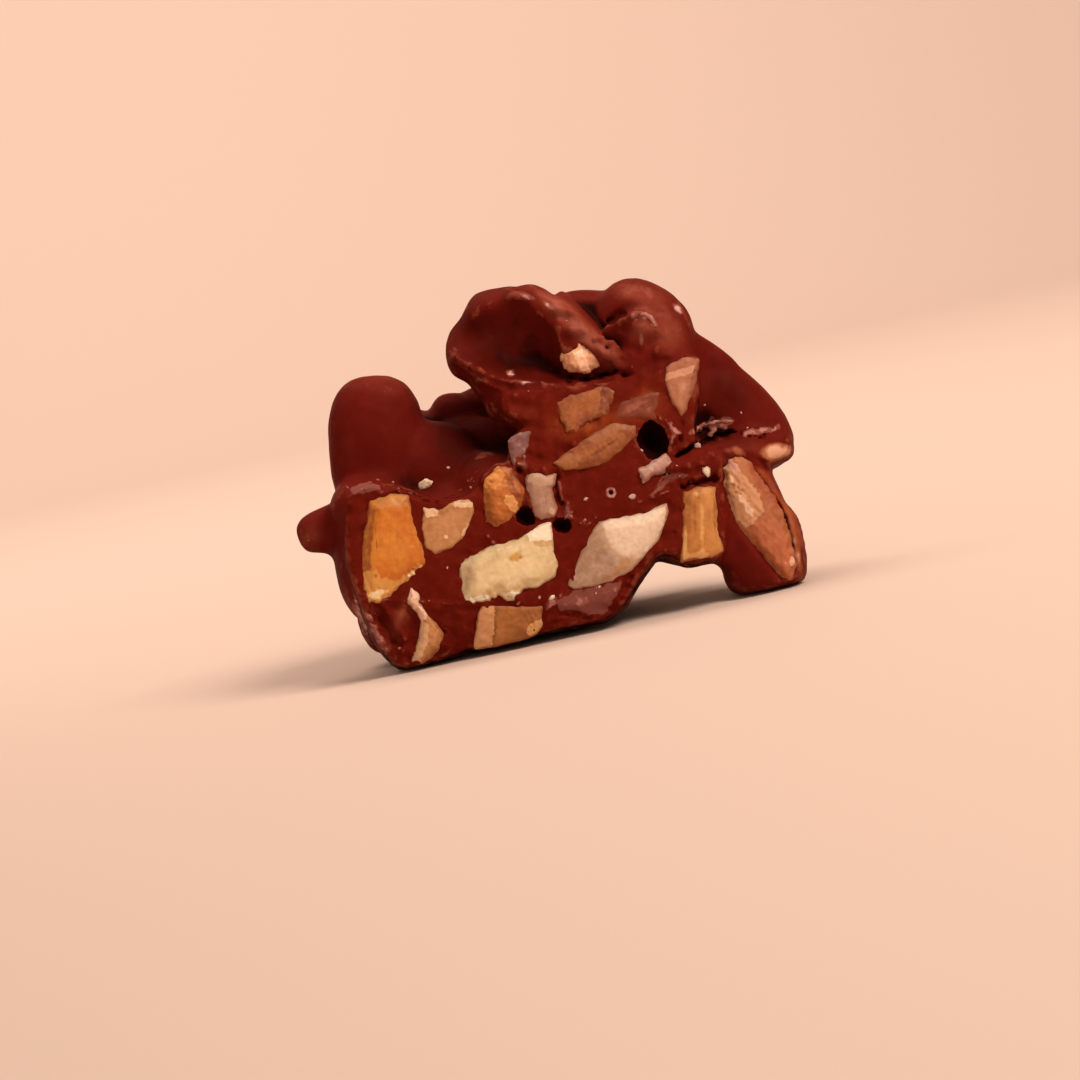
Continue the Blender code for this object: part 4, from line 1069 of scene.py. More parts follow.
# Painted shade: where the coat is painted darkest to stand for shadow, in the lee of the top block, under its
# lip and at the left, on the wing and in the channels.
PAINTED_SHADE = (
    Patch(-6.6, 34.4, 4.2, 3.0, -20, 0.8), Patch(-2.6, 27.0, 2.6, 1.8, 0, 0.7),
    Patch(-9.4, 23.0, 4.6, 2.4, -10, 0.85), Patch(-4.6, 31.0, 4.0, 1.2, -10, 0.75),
    Patch(-8.6, 25.2, 3.4, 2.0, -20, 1.1), Patch(3.4, 30.3, 4.4, 0.7, 6, 0.9),
    Patch(-21.6, 13.4, 1.2, 5.6, 0, 0.6), Patch(-18.0, 24.0, 3.0, 4.6, 0, 0.2),
    Patch(17.8, 28.8, 3.4, 3.6, -30, 0.8), Patch(20.2, 10.6, 3.0, 2.0, 0, 0.5),
    Patch(7.0, 35.8, 1.6, 0.5, 34, 0.7), Patch(18.0, 24.2, 4.0, 0.6, 16, 0.6),
    Patch(14.9, 19.6, 1.8, 0.4, 14, 0.8), Patch(-16.4, 5.0, 0.5, 2.4, -28, 0.6),
    Area(((5.7, 5.4), (8.4, 9.8), (6.6, 8.4), (5.4, 6.2)), 0.9, 0.2),
    Area(((-16.6, 7.0), (-14.5, 7.0), (-13.7, 5.4), (-14.4, 3.4), (-15.6, 5.2)), 0.5, 0.3),
)  # fmt: skip
# Where cocoa dust makes the coat greyish pink.
LILAC = (
    Patch(-3.4, 22.6, 1.8, 1.5, 20, 0.6), Patch(11.4, 18.4, 1.4, 1.0, 20, 0.5),
    Patch(10.4, 36.6, 4.0, 3.0, 0, 0.38), Patch(-12.2, 25.0, 1.8, 1.8, 0, 0.45),
    Area(((-20.2, 8.2), (-18.6, 7.8), (-17.0, 5.2), (-15.0, 1.6), (-16.4, 0.4), (-19.0, 3.4)), 0.5, 0.4),
)  # fmt: skip
# Where the chocolate is smeared so thin that the almond under it shows.
FILM = (
    Patch(4.0, 25.2, 4.6, 2.6, 8, 0.8), Patch(10.2, 27.2, 2.4, 2.4, 10, 0.7),
    Patch(-3.6, 21.4, 2.0, 1.2, 0, 0.5), Area((
        (20.1, 21.4), (22.2, 18.6), (24.1, 15.4), (25.0, 12.2), (25.6, 13.5), (25.0, 16.4), (23.4, 18.4),
        (22.2, 20.6)
    ), 0.9, 0.5),
)  # fmt: skip
# Thin coat that light passes through: tan over the almond beneath.
THIN = (
    Patch(22.8, 22.6, 1.4, 0.75, 8, 2.4), Patch(24.6, 13.4, 0.5, 4.6, 12, 0.9),
    Patch(-24.6, 13.8, 1.0, 1.4, 0, 0.45), Patch(-14.9, 6.2, 0.7, 1.6, -30, 0.6),
    Patch(18.9, 22.6, 0.9, 0.5, -30, 0.9),
)  # fmt: skip


@dataclass
class Chocolate:
    """The milk chocolate with the coated almonds in it, remade from its solid."""

    layout: FaceLayout
    node: bpy.types.Object
    step: float = FINE_STEP
    most_triangles: int = 195_000

    REACH = 1.6  # how far from the surface the distance is known
    FRONT_ROOM = 0.8  # how far the chocolate may stand in front of the knife
    CUT_SKIN = 0.5  # how far behind the cut the cross-section is taken
    POCKET_GAP = 0.3  # what the solid keeps between a pocket and its almond
    HIDDEN = 0.35  # how far inside an almond's rim its pocket begins
    SHEETS_END = (9.0, 11.0)  # between these depths the reshaped front gives way to the solid
    NARROW = 0.45  # half width of the widest burr that has gone pale
    FOOT = (7.6, 6.6)  # between these heights the face of the foot begins, which broke instead of being cut
    HEAD = (20.5, 22.5)  # between these heights the head begins, where the knife smeared the chocolate
    BUBBLE_RING = 0.4  # the small bubble's radius

    def __post_init__(self) -> None:
        """Reads the solid and sets the lattice round it."""
        mesh = self.node.data
        self.points = self.layout.from_row(read(mesh.vertices, "co", 3))
        self.triangles = read(mesh.loops, "vertex_index", 1, np.int32).reshape(-1, 3)
        low = self.points.min(0) - self.REACH
        low[2] = -self.FRONT_ROOM - 0.3
        high = self.points.max(0) + self.REACH
        self.lattice = Lattice(tuple(low), tuple(high), self.step)
        self.u, self.v, self.w = self.lattice.axes()
        self.flat_u, self.flat_v = self.u[:, :, 0], self.v[:, :, 0]

    def filled(self) -> Array:
        """The solid's field with its pockets and holes filled again."""
        body = level_set(self.points, self.triangles, self.lattice, self.REACH)
        for nut in NUTS:
            reach = self.POCKET_GAP + 0.15
            box = nut.lattice(self.step)
            low = (box.low[0], box.low[1], -1.0)
            high = (box.high[0], box.high[1], box.high[2] + reach)
            picked, part = self.lattice.window(low, high)
            u, v, w = part.axes()
            walls = outline_distance(u[:, :, 0], v[:, :, 0], np.array(nut.outline))[:, :, None] - reach
            back = w - (nut.face(v[:, :, 0])[:, :, None] + nut.depth + self.POCKET_GAP + reach)
            front = nut.face(v[:, :, 0])[:, :, None] - w
            body[picked] = np.minimum(body[picked], np.maximum(np.maximum(walls, back), front))
        for u0, v0, radius, depth in OPENED_HOLES:
            reach = 1.2 * radius + 0.3
            low, high = (u0 - reach, v0 - reach, -1.0), (u0 + reach, v0 + reach, 2.0 + depth)
            picked, part = self.lattice.window(low, high)
            u, v, w = part.axes()
            walls = np.hypot(u - u0, v - v0) - (1.1 * radius + 0.15)
            back = w - (cut_depth(v) + depth + 0.4)
            body[picked] = np.minimum(body[picked], np.maximum(np.maximum(walls, back), cut_depth(v) - w))
        return body

    def drawn_forward(self, body: Array) -> Array:
        """The section just behind the cut, carried forward past the knife so that the cut is made afresh."""
        starts = ((cut_depth(self.v[0, :, 0]) + self.CUT_SKIN - self.lattice.low[2]) / self.step).astype(int)
        for row, start in enumerate(starts):
            start = min(start, body.shape[2] - 1)
            body[:, row, :start] = body[:, row, start][:, None]
        return body

    def coated(self, body: Array) -> Array:
        """The field with the waves, dents and grains that setting chocolate keeps, and its crumbly places."""
        swell = 0.13 * cloud(self.lattice, 3.6, 21) + 0.015 * cloud(self.lattice, 1.3, 22)
        grain = cloud(self.lattice, 0.5, 23)
        crumbly = coverage(CRUMBLY, self.flat_u, self.flat_v)[:, :, None]
        crumbs = np.abs(cloud(self.lattice, 0.7, 24)) - 0.6
        return body + swell + 0.006 * grain + crumbly * (0.22 * crumbs + 0.05 * grain)

    def reshaped(self, body: Array) -> Array:
        """The field with the sheets in its front: its outline carried forward, and cut to their depths."""
        near = smooth_step(self.SHEETS_END[1], self.SHEETS_END[0], self.w)
        outline = body.min(axis=2)
        for sheet in SHEETS:
            roll = 1.4 * np.clip(1.0 + outline / 1.4, 0.0, 1.0) ** 2
            cut = (sheet.depth(self.flat_u, self.flat_v) + roll)[:, :, None] - self.w
            share = sheet.share(self.flat_u, self.flat_v)[:, :, None] * near
            body = body * (1.0 - share) + soft_max(outline[:, :, None], cut, 0.3) * share
        return body

    def first_surface(self, body: Array) -> Array:
        """w of the first surface behind each point of the face, or of the lattice's end if there is none."""
        inside = body < 0.0
        first = np.where(inside.any(axis=2), inside.argmax(axis=2), body.shape[2] - 1)
        return (first * self.step + self.lattice.low[2]).astype(np.float32)

    def torn(self, body: Array) -> Array:
        """The field with the crevices cut into its front and the rolls laid on it."""
        front = blur(np.minimum(self.first_surface(body), 8.0), 0.5 / self.step)
        for groove in FRONT_GROOVES:
            push = groove.push(self.flat_u, self.flat_v)
            clear = 0.8 * (1.0 - np.clip(push / groove.depth, 0.0, 1.0))
            body = soft_max(body, (front + push - clear)[:, :, None] - self.w, 0.15)
        for smear in SMEARS:
            edge = smear.distance(self.flat_u, self.flat_v)
            slab = np.maximum((front - smear.rise)[:, :, None] - self.w, self.w - (front + 0.4)[:, :, None])
            body = soft_min(body, soft_max(edge[:, :, None], slab, 0.1), 0.08)
        for roll in ROLLS:
            picked, part = self.lattice.window(*roll.bounds())
            body[picked] = soft_min(body[picked], roll.field(*part.axes()), roll.blend)
        return body

    def knife_marks(self, rim: Array) -> Array:
        """w of the cut surface over the face.

        Args:
            rim: the distance in the face to the edge of the cross-section, negative inside it.

        Returns:
            The knife's planes, with drag marks along u, pits, cracks and burrs, a worn edge and a frayed one.
        """
        u, v = self.flat_u, self.flat_v
        marks = 0.05 * ripple(u, v, 8.0, 31) + 0.006 * ripple(u, v, 1.8, 32) + 0.006 * ripple(u, v, 0.7, 33)
        marks = marks + 0.005 * ripple(0.2 * u + 0.05 * v, v, 0.9, 34)
        broken = smooth_step(*self.FOOT, v)
        marks = marks + broken * (0.08 * ripple(u, v, 2.6, 35) + 0.03 * ripple(u, v, 1.0, 36))
        smeared = smooth_step(*self.HEAD, v)
        marks = marks + smeared * 0.035 * ripple(u, v, 3.4, 37)
        pits = np.clip(ripple(u, v, 1.5, 38, 14) - 2.4, 0.0, 0.5)
        worn = 0.4 * smooth_step(-0.7, 0.1, rim) * (0.7 + 0.5 * ripple(u, v, 2.0, 39))
        fray = np.exp(-(((rim + 0.15) / 0.22) ** 2)) * np.clip(ripple(u, v, 1.1, 44), -0.2, 1.2)
        valley = smooth_step(16.6, 17.6, v) * smooth_step(-21.0, -19.0, u) * smooth_step(-2.0, -4.0, u)
        bubble = np.hypot(u - BUBBLE[0], v - BUBBLE[1])
        ring = 0.6 * smooth_step(0.32, 0.2, bubble)
        ring = ring - 0.1 * np.exp(-(((bubble - self.BUBBLE_RING) / 0.1) ** 2))
        grooves = sum(groove.push(u, v) for groove in FACE_GROOVES)
        crumbly = coverage(CRUMBLY, u, v) * 0.12 * ripple(u, v, 0.9, 45, 14)
        marks = marks + 0.5 * pits + worn - (0.08 + 0.1 * valley) * fray
        return cut_depth(v) + marks + ring + grooves + crumbly

    def carved(self, body: Array) -> Array:
        """The field with a pocket for every almond piece, whose mouth the piece hides, and the bubbles."""
        for nut in NUTS:
            box = nut.lattice(self.step)
            picked, part = self.lattice.window(box.low, box.high)
            body[picked] = np.maximum(body[picked], -self.HIDDEN - nut.pocket(*part.axes()))
        for hole in AIR_HOLES:
            mouth = np.array(hole.mouth)
            low = (*(mouth.min(0) - 1.0), self.lattice.low[2])
            high = (*(mouth.max(0) + 1.0), cut_depth(mouth.max(0)[1]) + hole.depth + 1.0)
            picked, part = self.lattice.window(low, high)
            body[picked] = soft_max(body[picked], -hole.field(*part.axes()), 0.15)
        return body

    def on_base(self, body: Array) -> Array:
        """The field cut flat where the sweet stands: the row's plane z = 0, with a slightly rolled edge."""
        up = self.layout.turn()[2]
        height = self.u * up[0] + self.v * up[1] + self.w * up[2] + self.layout.offset()[2] / MM
        return soft_max(body, -height.astype(np.float32), 0.3)

    def build(self) -> bpy.types.Object:
        """Makes the mesh, with an attribute for each thing that the material shows."""
        body = blur(self.drawn_forward(self.filled()), 0.26 / self.step)
        body = self.coated(self.reshaped(body))
        rim = body[:, :, 1].copy()
        self.cut = self.knife_marks(rim)
        body = soft_max(body, self.cut[:, :, None] - self.w, 0.07)
        body = self.on_base(self.carved(self.torn(body)))
        points, quads = self.lattice.surface(body)
        piece = mesh_object("milk_chocolate", points, quads, self.layout)
        thinned(piece, self.most_triangles)
        self.paint(piece, body, rim)
        return piece

    def paint(self, piece: bpy.types.Object, body: Array, rim: Array) -> None:
        """Writes an attribute for each thing that the material shows."""
        points = self.layout.from_row(read(piece.data.vertices, "co", 3))
        low, high = self.lattice.low, self.lattice.high
        self.flat = Lattice(low, (*high[:2], low[2] + self.step), self.step)

        def over_face(values: Array) -> Array:
            """A map over the face, read at every vertex."""
            return self.flat.sample(np.repeat(values[:, :, None], 2, axis=2), points)

        self.front = self.first_surface(body)
        behind = points[:, 2] - over_face(self.front)
        front = smooth_step(1.6, 0.8, behind)
        from_cut = points[:, 2] - over_face(self.cut)
        in_section = smooth_step(0.25, -0.1, over_face(rim)) * smooth_step(32.0, 29.0, points[:, 1])
        on_cut = smooth_step(0.5, 0.25, np.abs(from_cut)) * in_section
        hole = smooth_step(0.3, 1.0, from_cut) * in_section
        front = front * (1.0 - hole)
        u, v = self.flat_u, self.flat_v
        narrow = [groove for groove in (*FACE_GROOVES, *FRONT_GROOVES) if groove.half_width < self.NARROW]
        burrs = sum(np.clip(-groove.push(u, v), 0.0, None) for groove in narrow) * 5.0
        for roll in ROLLS:
            gap, _ = line_distance(u, v, np.array(roll.path)[:, :2])
            burrs = burrs + roll.pale * np.exp(-((gap / (1.4 * roll.radius)) ** 2))
        from_ring = np.hypot(u - BUBBLE[0], v - BUBBLE[1]) - self.BUBBLE_RING
        ring = 2.0 * np.exp(-((from_ring / 0.12) ** 2))
        near = blur(np.clip(body, -1.2, 1.2), 0.5 / self.step)
        wide = blur(np.clip(body[::2, ::2, ::2], -1.6, 1.6), 1.5 / (2 * self.step))
        coarse = Lattice(low, high, 2 * self.step)
        masks = {
            "cut": on_cut,
            "edge": np.clip(self.lattice.sample(near, points) * 4.0, -1.0, 1.0),
            # Painted shade: darker where the surface is hollow, by how far the widely blurred field is
            # inside, and inside the opened bubbles.
            "hollow_shade": np.clip(-coarse.sample(wide, points) * 1.6, 0.0, 1.0) + hole,
            # Painted shade: the places where shadow falls, painted darker into the coat.
            "deep": over_face(coverage(PAINTED_SHADE, u, v)),
            "burr": front * over_face(np.clip(burrs, 0.0, 1.0) + ring),
        }
        shown = {
            "frost_and_glint": FROST_AND_GLINT, "lilac": LILAC, "film": FILM, "smear": SMEARS, "thin": THIN, "scuffed_and_lit": SCUFFED_AND_LIT,
        }  # fmt: skip
        masks |= {name: front * over_face(coverage(places, u, v)) for name, places in shown.items()}
        for name, values in masks.items():
            write_attribute(piece, name, values)


# ----------------------------------------------------------------------------
# Meshes
# ----------------------------------------------------------------------------
def added(name: str, data: bpy.types.ID) -> bpy.types.Object:
    """A new object in the scene that shows a mesh, a light or a camera."""
    thing = bpy.data.objects.new(name, data)
    bpy.context.scene.collection.objects.link(thing)
    return thing


def mesh_object(name: str, points: Array, faces: Array, layout: FaceLayout) -> bpy.types.Object:
    """A smooth-shaded object from layout points and corner numbers, with its place in its mesh."""
    mesh = bpy.data.meshes.new(name)
    mesh.from_pydata(layout.to_row(points).astype(np.float32), [], faces.tolist())
    mesh.update()
    mesh.shade_smooth()
    return added(name, mesh)


def triangle_count(piece: bpy.types.Object) -> int:
    """How many triangles the piece's faces make."""
    return sum(len(face.vertices) - 2 for face in piece.data.polygons)


def thinned(piece: bpy.types.Object, most: int) -> None:
    """Merges short edges, those of flat places first, until the piece has at most that many triangles."""
    count = triangle_count(piece)
    if count <= most:
        return
    modifier = piece.modifiers.new("thin", "DECIMATE")
    modifier.ratio = most / count
    graph = bpy.context.evaluated_depsgraph_get()
    piece.data = bpy.data.meshes.new_from_object(piece.evaluated_get(graph))
    piece.modifiers.clear()
    piece.data.name = piece.name
    piece.data.shade_smooth()


def write_attribute(piece: bpy.types.Object, name: str, values: Array) -> None:
    """Stores one number at each vertex."""
    attribute = piece.data.attributes.new(name, "FLOAT", "POINT")
    attribute.data.foreach_set("value", np.asarray(values, np.float32))


def nut_object(nut: Nut, layout: FaceLayout, step: float) -> bpy.types.Object:
    """The piece's mesh, with its distance inside the rim, its tints and a map along and across its fibres."""
    lattice = nut.lattice(step)
    points, quads = lattice.surface(nut.field(*lattice.axes()))
    piece = mesh_object(nut.name + "_flesh", points, quads, layout)
    u, v = points[:, 0], points[:, 1]
    within = -nut.rim_distance(u, v)
    write_attribute(piece, "rim", 1.0 - np.clip(within / nut.size(), 0.0, 1.0))
    write_attribute(piece, "fringe", np.exp(-((np.clip(within, 0.0, None) / 0.12) ** 2)))
    for number, tint in enumerate(nut.flesh.tints):
        write_attribute(piece, f"tint{number}", coverage(tint.places, u, v))
    grain = math.radians(nut.flesh.grain_deg)
    along = u * math.cos(grain) + v * math.sin(grain)
    across = v * math.cos(grain) - u * math.sin(grain)
    layer = piece.data.uv_layers.new(name="grain")
    corners = read(piece.data.loops, "vertex_index", 1, np.int32)[:, 0]
    layer.data.foreach_set("uv", np.stack([along, across], axis=1)[corners].astype(np.float32).ravel())
    return piece


# ----------------------------------------------------------------------------
# Crumbs, splinters and flakes
# ----------------------------------------------------------------------------
@dataclass(frozen=True)
class Chip:
    """One loose bit that the photograph shows: where it lies, its half length and the way it points."""

    u: float
    v: float
    half: float
    turn_deg: float = 0.0


@dataclass(frozen=True)
class Scatter:
    """Loose bits of one kind, which lie on the front of the sweet in a few places."""

    name: str
    places: tuple[Patch, ...]  # each strength is how many bits lie there
    least: float  # half length of the smallest bit
    most: float  # and of the largest
    shape: Point3  # half sizes along, across and through a bit, as shares of its half length
    seed: int
    chips: tuple[Chip, ...] = ()

    SUBDIVISIONS = 2
    RAGGED = 0.2  # how far corners move, as a share of the half length
    DEEPEST = 6.0  # bits that would lie further behind the cut than this fall through a gap and are left out

    def ball(self) -> tuple[Array, Array]:
        """A ball of radius 1: its corners, and its triangles turned over because u, v, w is left-handed."""
        shape = bmesh.new()
        bmesh.ops.create_icosphere(shape, subdivisions=self.SUBDIVISIONS, radius=1.0)
        corners = np.array([corner.co for corner in shape.verts])
        faces = np.array([[corner.index for corner in face.verts] for face in shape.faces])[:, ::-1]
        shape.free()
        return corners, faces

    def build(self, layout: FaceLayout, flat: Lattice, front: Array) -> bpy.types.Object:
        """Makes the bits as one mesh.

        Args:
            layout: the face's place in the row.
            flat: a lattice one point deep, over the face.
            front: w of the first surface behind each point of the face.

        Returns:
            The object. Each bit is a ball squeezed to its shape, roughened, turned at random and set down.
        """
        dice = np.random.default_rng(self.seed)
        corners, faces = self.ball()
        loose = [place.spread(dice.normal(size=(int(place.strength), 2)) * 0.55) for place in self.places]
        middles = np.concatenate([*loose, np.array([(chip.u, chip.v) for chip in self.chips]).reshape(-1, 2)])
        spots = np.column_stack([middles, np.zeros(len(middles))])
        depth = flat.sample(np.repeat(front[:, :, None], 2, axis=2), spots)
        middles, depth = middles[depth < self.DEEPEST], depth[depth < self.DEEPEST]
        total, placed = len(middles), len(self.chips)
        half = self.least + (self.most - self.least) * dice.uniform(size=total) ** 2.5
        rough = 1.0 + self.RAGGED * dice.normal(size=(total, len(corners), 1)).clip(-1.5, 1.5)
        if placed:
            half[-placed:] = [chip.half for chip in self.chips]
        bits = corners[None] * rough * np.array(self.shape) * half[:, None, None]
        spin = dice.uniform(0.0, 2.0 * math.pi, total)
        tilt = dice.normal(scale=0.5, size=total)
        if placed:
            spin[-placed:] = [math.radians(chip.turn_deg) for chip in self.chips]
            tilt[-placed:] = 0.0
        cos, sin = np.cos(spin)[:, None], np.sin(spin)[:, None]
        along = bits[..., 0] * cos - bits[..., 1] * sin
        across = bits[..., 0] * sin + bits[..., 1] * cos
        through = bits[..., 2] + along * np.tan(tilt)[:, None] * 0.5
        sunk = depth - 0.35 * half * self.shape[2]
        points = np.stack([along + middles[:, :1], across + middles[:, 1:], through + sunk[:, None]], axis=-1)
        triangles = faces[None] + np.arange(total)[:, None, None] * len(corners)
        return mesh_object(self.name, points.reshape(-1, 3), triangles.reshape(-1, 3), layout)


CRUMBS = Scatter("almond_crumbs", (
    Patch(4.0, 8.6, 3.2, 0.4, 14, 8), Patch(-9.0, 7.4, 5.0, 0.3, 0, 7),
    Patch(12.2, 20.6, 1.8, 0.8, 20, 6), Patch(-1.6, 5.0, 0.8, 1.2, 0, 6)
), 0.05, 0.16, (1.0, 0.7, 0.4), 81, (
    Chip(-12.7, 19.3, 0.9, 22), Chip(15.6, 20.6, 0.55, -60), Chip(24.4, 11.5, 0.35, 80),
    Chip(0.2, 7.9, 0.35, 40)
))  # fmt: skip
SPLINTERS = Scatter("chocolate_splinters", (
    Patch(8.6, 31.6, 1.0, 1.2, 0, 5), Patch(-17.0, 19.0, 3.0, 0.6, 0, 10),
    Patch(2.6, 15.6, 1.6, 0.7, 0, 8), Patch(-8.0, 7.2, 6.0, 0.4, 0, 12),
    Patch(13.0, 20.2, 1.8, 0.7, 10, 10), Patch(-6.0, 19.0, 4.0, 1.2, 0, 8),
    Patch(-12.6, 4.2, 2.6, 2.2, 0, 14), Patch(4.0, 12.6, 12.0, 4.0, 0, 10)
), 0.08, 0.36, (1.0, 0.55, 0.25), 82)  # fmt: skip
FLAKES = Scatter("bloom_flakes", (
    Patch(21.4, 25.2, 1.8, 0.4, 4, 5), Patch(-17.6, 5.2, 0.8, 3.6, 14, 14),
    Patch(12.4, 20.1, 1.4, 0.5, 12, 6), Patch(-2.6, 29.2, 1.0, 0.9, 0, 6),
    Patch(1.4, 17.0, 0.4, 1.4, 0, 6), Patch(0.6, 36.8, 3.0, 0.4, -40, 8),
    Patch(-12.0, 4.6, 3.0, 2.0, 0, 10)
), 0.05, 0.16, (1.0, 0.75, 0.25), 83, (
    Chip(14.8, 23.0, 0.5, 80), Chip(3.6, 17.8, 0.28), Chip(8.2, 18.0, 0.34, 10),
    Chip(-10.3, 21.0, 0.22, 20), Chip(-10.3, 10.9, 0.22, 40), Chip(-1.0, 8.0, 0.34, 30),
    Chip(9.1, 22.6, 0.25), Chip(15.6, 27.4, 0.2), Chip(19.4, 26.6, 0.24, 30)
))  # fmt: skip


# ----------------------------------------------------------------------------
# Finishes
# ----------------------------------------------------------------------------
def linear(colour: str) -> tuple[float, float, float, float]:
    """An sRGB hex colour as light: ((c + 0.055) / 1.055)^2.4, or c / 12.92 where c is at most 0.04045."""
    parts = [int(colour[k : k + 2], 16) / 255.0 for k in (1, 3, 5)]
    return (*(((c + 0.055) / 1.055) ** 2.4 if c > 0.04045 else c / 12.92 for c in parts), 1.0)


def add(
    tree: bpy.types.NodeTree, kind: str, inputs: dict[str | int, object], **settings: object
) -> bpy.types.Node:
    """Adds a node to a material.

    Args:
        tree: the material's nodes.
        kind: which node, without the words that every node's type starts with.
        inputs: for each socket's name or number, a constant or the output that feeds it.
        settings: the node's own properties.

    Returns:
        The node.
    """
    node = tree.nodes.new("ShaderNode" + kind)
    for name, value in settings.items():
        setattr(node, name, value)
    for key, value in inputs.items():
        if isinstance(value, bpy.types.NodeSocket):
            tree.links.new(value, node.inputs[key])
        else:
            node.inputs[key].default_value = value
    return node


def masked(tree: bpy.types.NodeTree, name: str) -> bpy.types.NodeSocket | float:
    """The attribute of that name, or 1 everywhere where there is no name."""
    return add(tree, "Attribute", {}, attribute_name=name).outputs["Fac"] if name else 1.0


class Space(Enum):
    """Which coordinates a pattern is laid out in."""

    BODY = "the object's own place, for patterns without a direction"
    GRAIN = "the map along and across an almond's fibres"


@dataclass(frozen=True)
class Layer:
    """A colour that covers what lies below it in soft-edged spots."""

    colour: str
    cover: float  # share of the surface covered, where the mask is 1
    size: float  # the spots' size in millimetres
    mask: str = ""  # the attribute that says where it shows; everywhere if empty
    soft: float = 0.1  # width of the spots' edges, as a share of the noise's range
    rough: float | None = None  # the roughness it gives; what lies below keeps its own if none
    height: float = 0.0  # how thick it stands, in millimetres
    stretch: float = 1.0  # how much longer than wide the spots are
    space: Space = Space.BODY
    seed: int = 0
    strength: float = 1.0  # how much of what lies below it hides


@dataclass(frozen=True)
class Relief:
    """Fine unevenness, too small for the mesh."""

    size: float
    height: float
    mask: str = ""
    stretch: float = 1.0
    space: Space = Space.BODY


@dataclass(frozen=True)
class Finish:
    """The look of one material: a base, layers over it and fine relief."""

    name: str
    colour: str
    rough: float
    layers: tuple[Layer, ...] = ()
    reliefs: tuple[Relief, ...] = ()
    subsurface: float = 0.0
    bleed: Point3 = (1.0, 0.35, 0.2)  # how far red, green and blue light travel inside it, in millimetres
    coat: float = 0.0
    specular: float = 0.5

    def noise(self, tree: bpy.types.NodeTree, spots: Layer | Relief, seed: int) -> bpy.types.NodeSocket:
        """The pattern of a layer or a relief: noise whose main feature is as large as the spots."""
        if spots.space is Space.GRAIN:
            where, unit = add(tree, "UVMap", {}, uv_map="grain").outputs["UV"], 1.0
        else:
            where, unit = add(tree, "TexCoord", {}).outputs["Object"], 1.0 / MM
        scale = (unit / spots.size / spots.stretch, unit / spots.size, unit / spots.size)
        inputs = {0: where, 1: scale, 2: (7.3 * seed, 3.1 * seed, 5.7 * seed)}
        place = add(tree, "VectorMath", inputs, operation="MULTIPLY_ADD").outputs["Vector"]
        inputs = {"Vector": place, "Scale": 0.5, "Detail": 3.0, "Roughness": 0.6, "Distortion": 0.4}
        return add(tree, "TexNoise", inputs).outputs["Fac"]

    def material(self) -> bpy.types.Material:
        """Builds the node tree: each layer's spots blend the colour, the roughness and the height in turn."""
        made = bpy.data.materials.new(self.name)
        made.use_nodes = True
        tree = made.node_tree
        tree.nodes.clear()
        colour, rough, height = linear(self.colour), self.rough, 0.0
        for seed, layer in enumerate(self.layers):
            noise = self.noise(tree, layer, seed + layer.seed)
            inputs = {0: masked(tree, layer.mask), 1: layer.cover, 2: noise}
            shown = add(tree, "Math", inputs, operation="MULTIPLY_ADD").outputs[0]
            inputs = {"Value": shown, "From Min": 1.0 - layer.soft, "From Max": 1.0 + layer.soft}
            inputs["To Max"] = layer.strength
            share = add(tree, "MapRange", inputs, interpolation_type="SMOOTHSTEP").outputs[0]
            inputs = {0: share, 6: colour, 7: linear(layer.colour)}
            colour = add(tree, "Mix", inputs, data_type="RGBA").outputs[2]
            if layer.rough is not None:
                rough = add(tree, "Mix", {0: share, 2: rough, 3: layer.rough}, data_type="FLOAT").outputs[0]
            if layer.height:
                inputs = {0: share, 1: layer.height, 2: height}
                height = add(tree, "Math", inputs, operation="MULTIPLY_ADD").outputs[0]
        for seed, relief in enumerate(self.reliefs):
            noise = self.noise(tree, relief, seed + 20)
            inputs = {0: masked(tree, relief.mask), 1: relief.height}
            rise = add(tree, "Math", inputs, operation="MULTIPLY").outputs[0]
            height = add(tree, "Math", {0: noise, 1: rise, 2: height}, operation="MULTIPLY_ADD").outputs[0]
        normal = add(tree, "Bump", {"Height": height, "Strength": 1.0, "Distance": MM}).outputs["Normal"]
        inputs = {
            "Base Color": colour, "Roughness": rough, "Normal": normal, "Specular IOR Level": self.specular,
            "Subsurface Weight": self.subsurface, "Subsurface Radius": self.bleed, "Subsurface Scale": MM,
            "Coat Weight": self.coat, "Coat Roughness": 0.25,
        }  # fmt: skip
        shader = add(tree, "BsdfPrincipled", inputs)
        add(tree, "OutputMaterial", {"Surface": shader.outputs[0]})
        return made


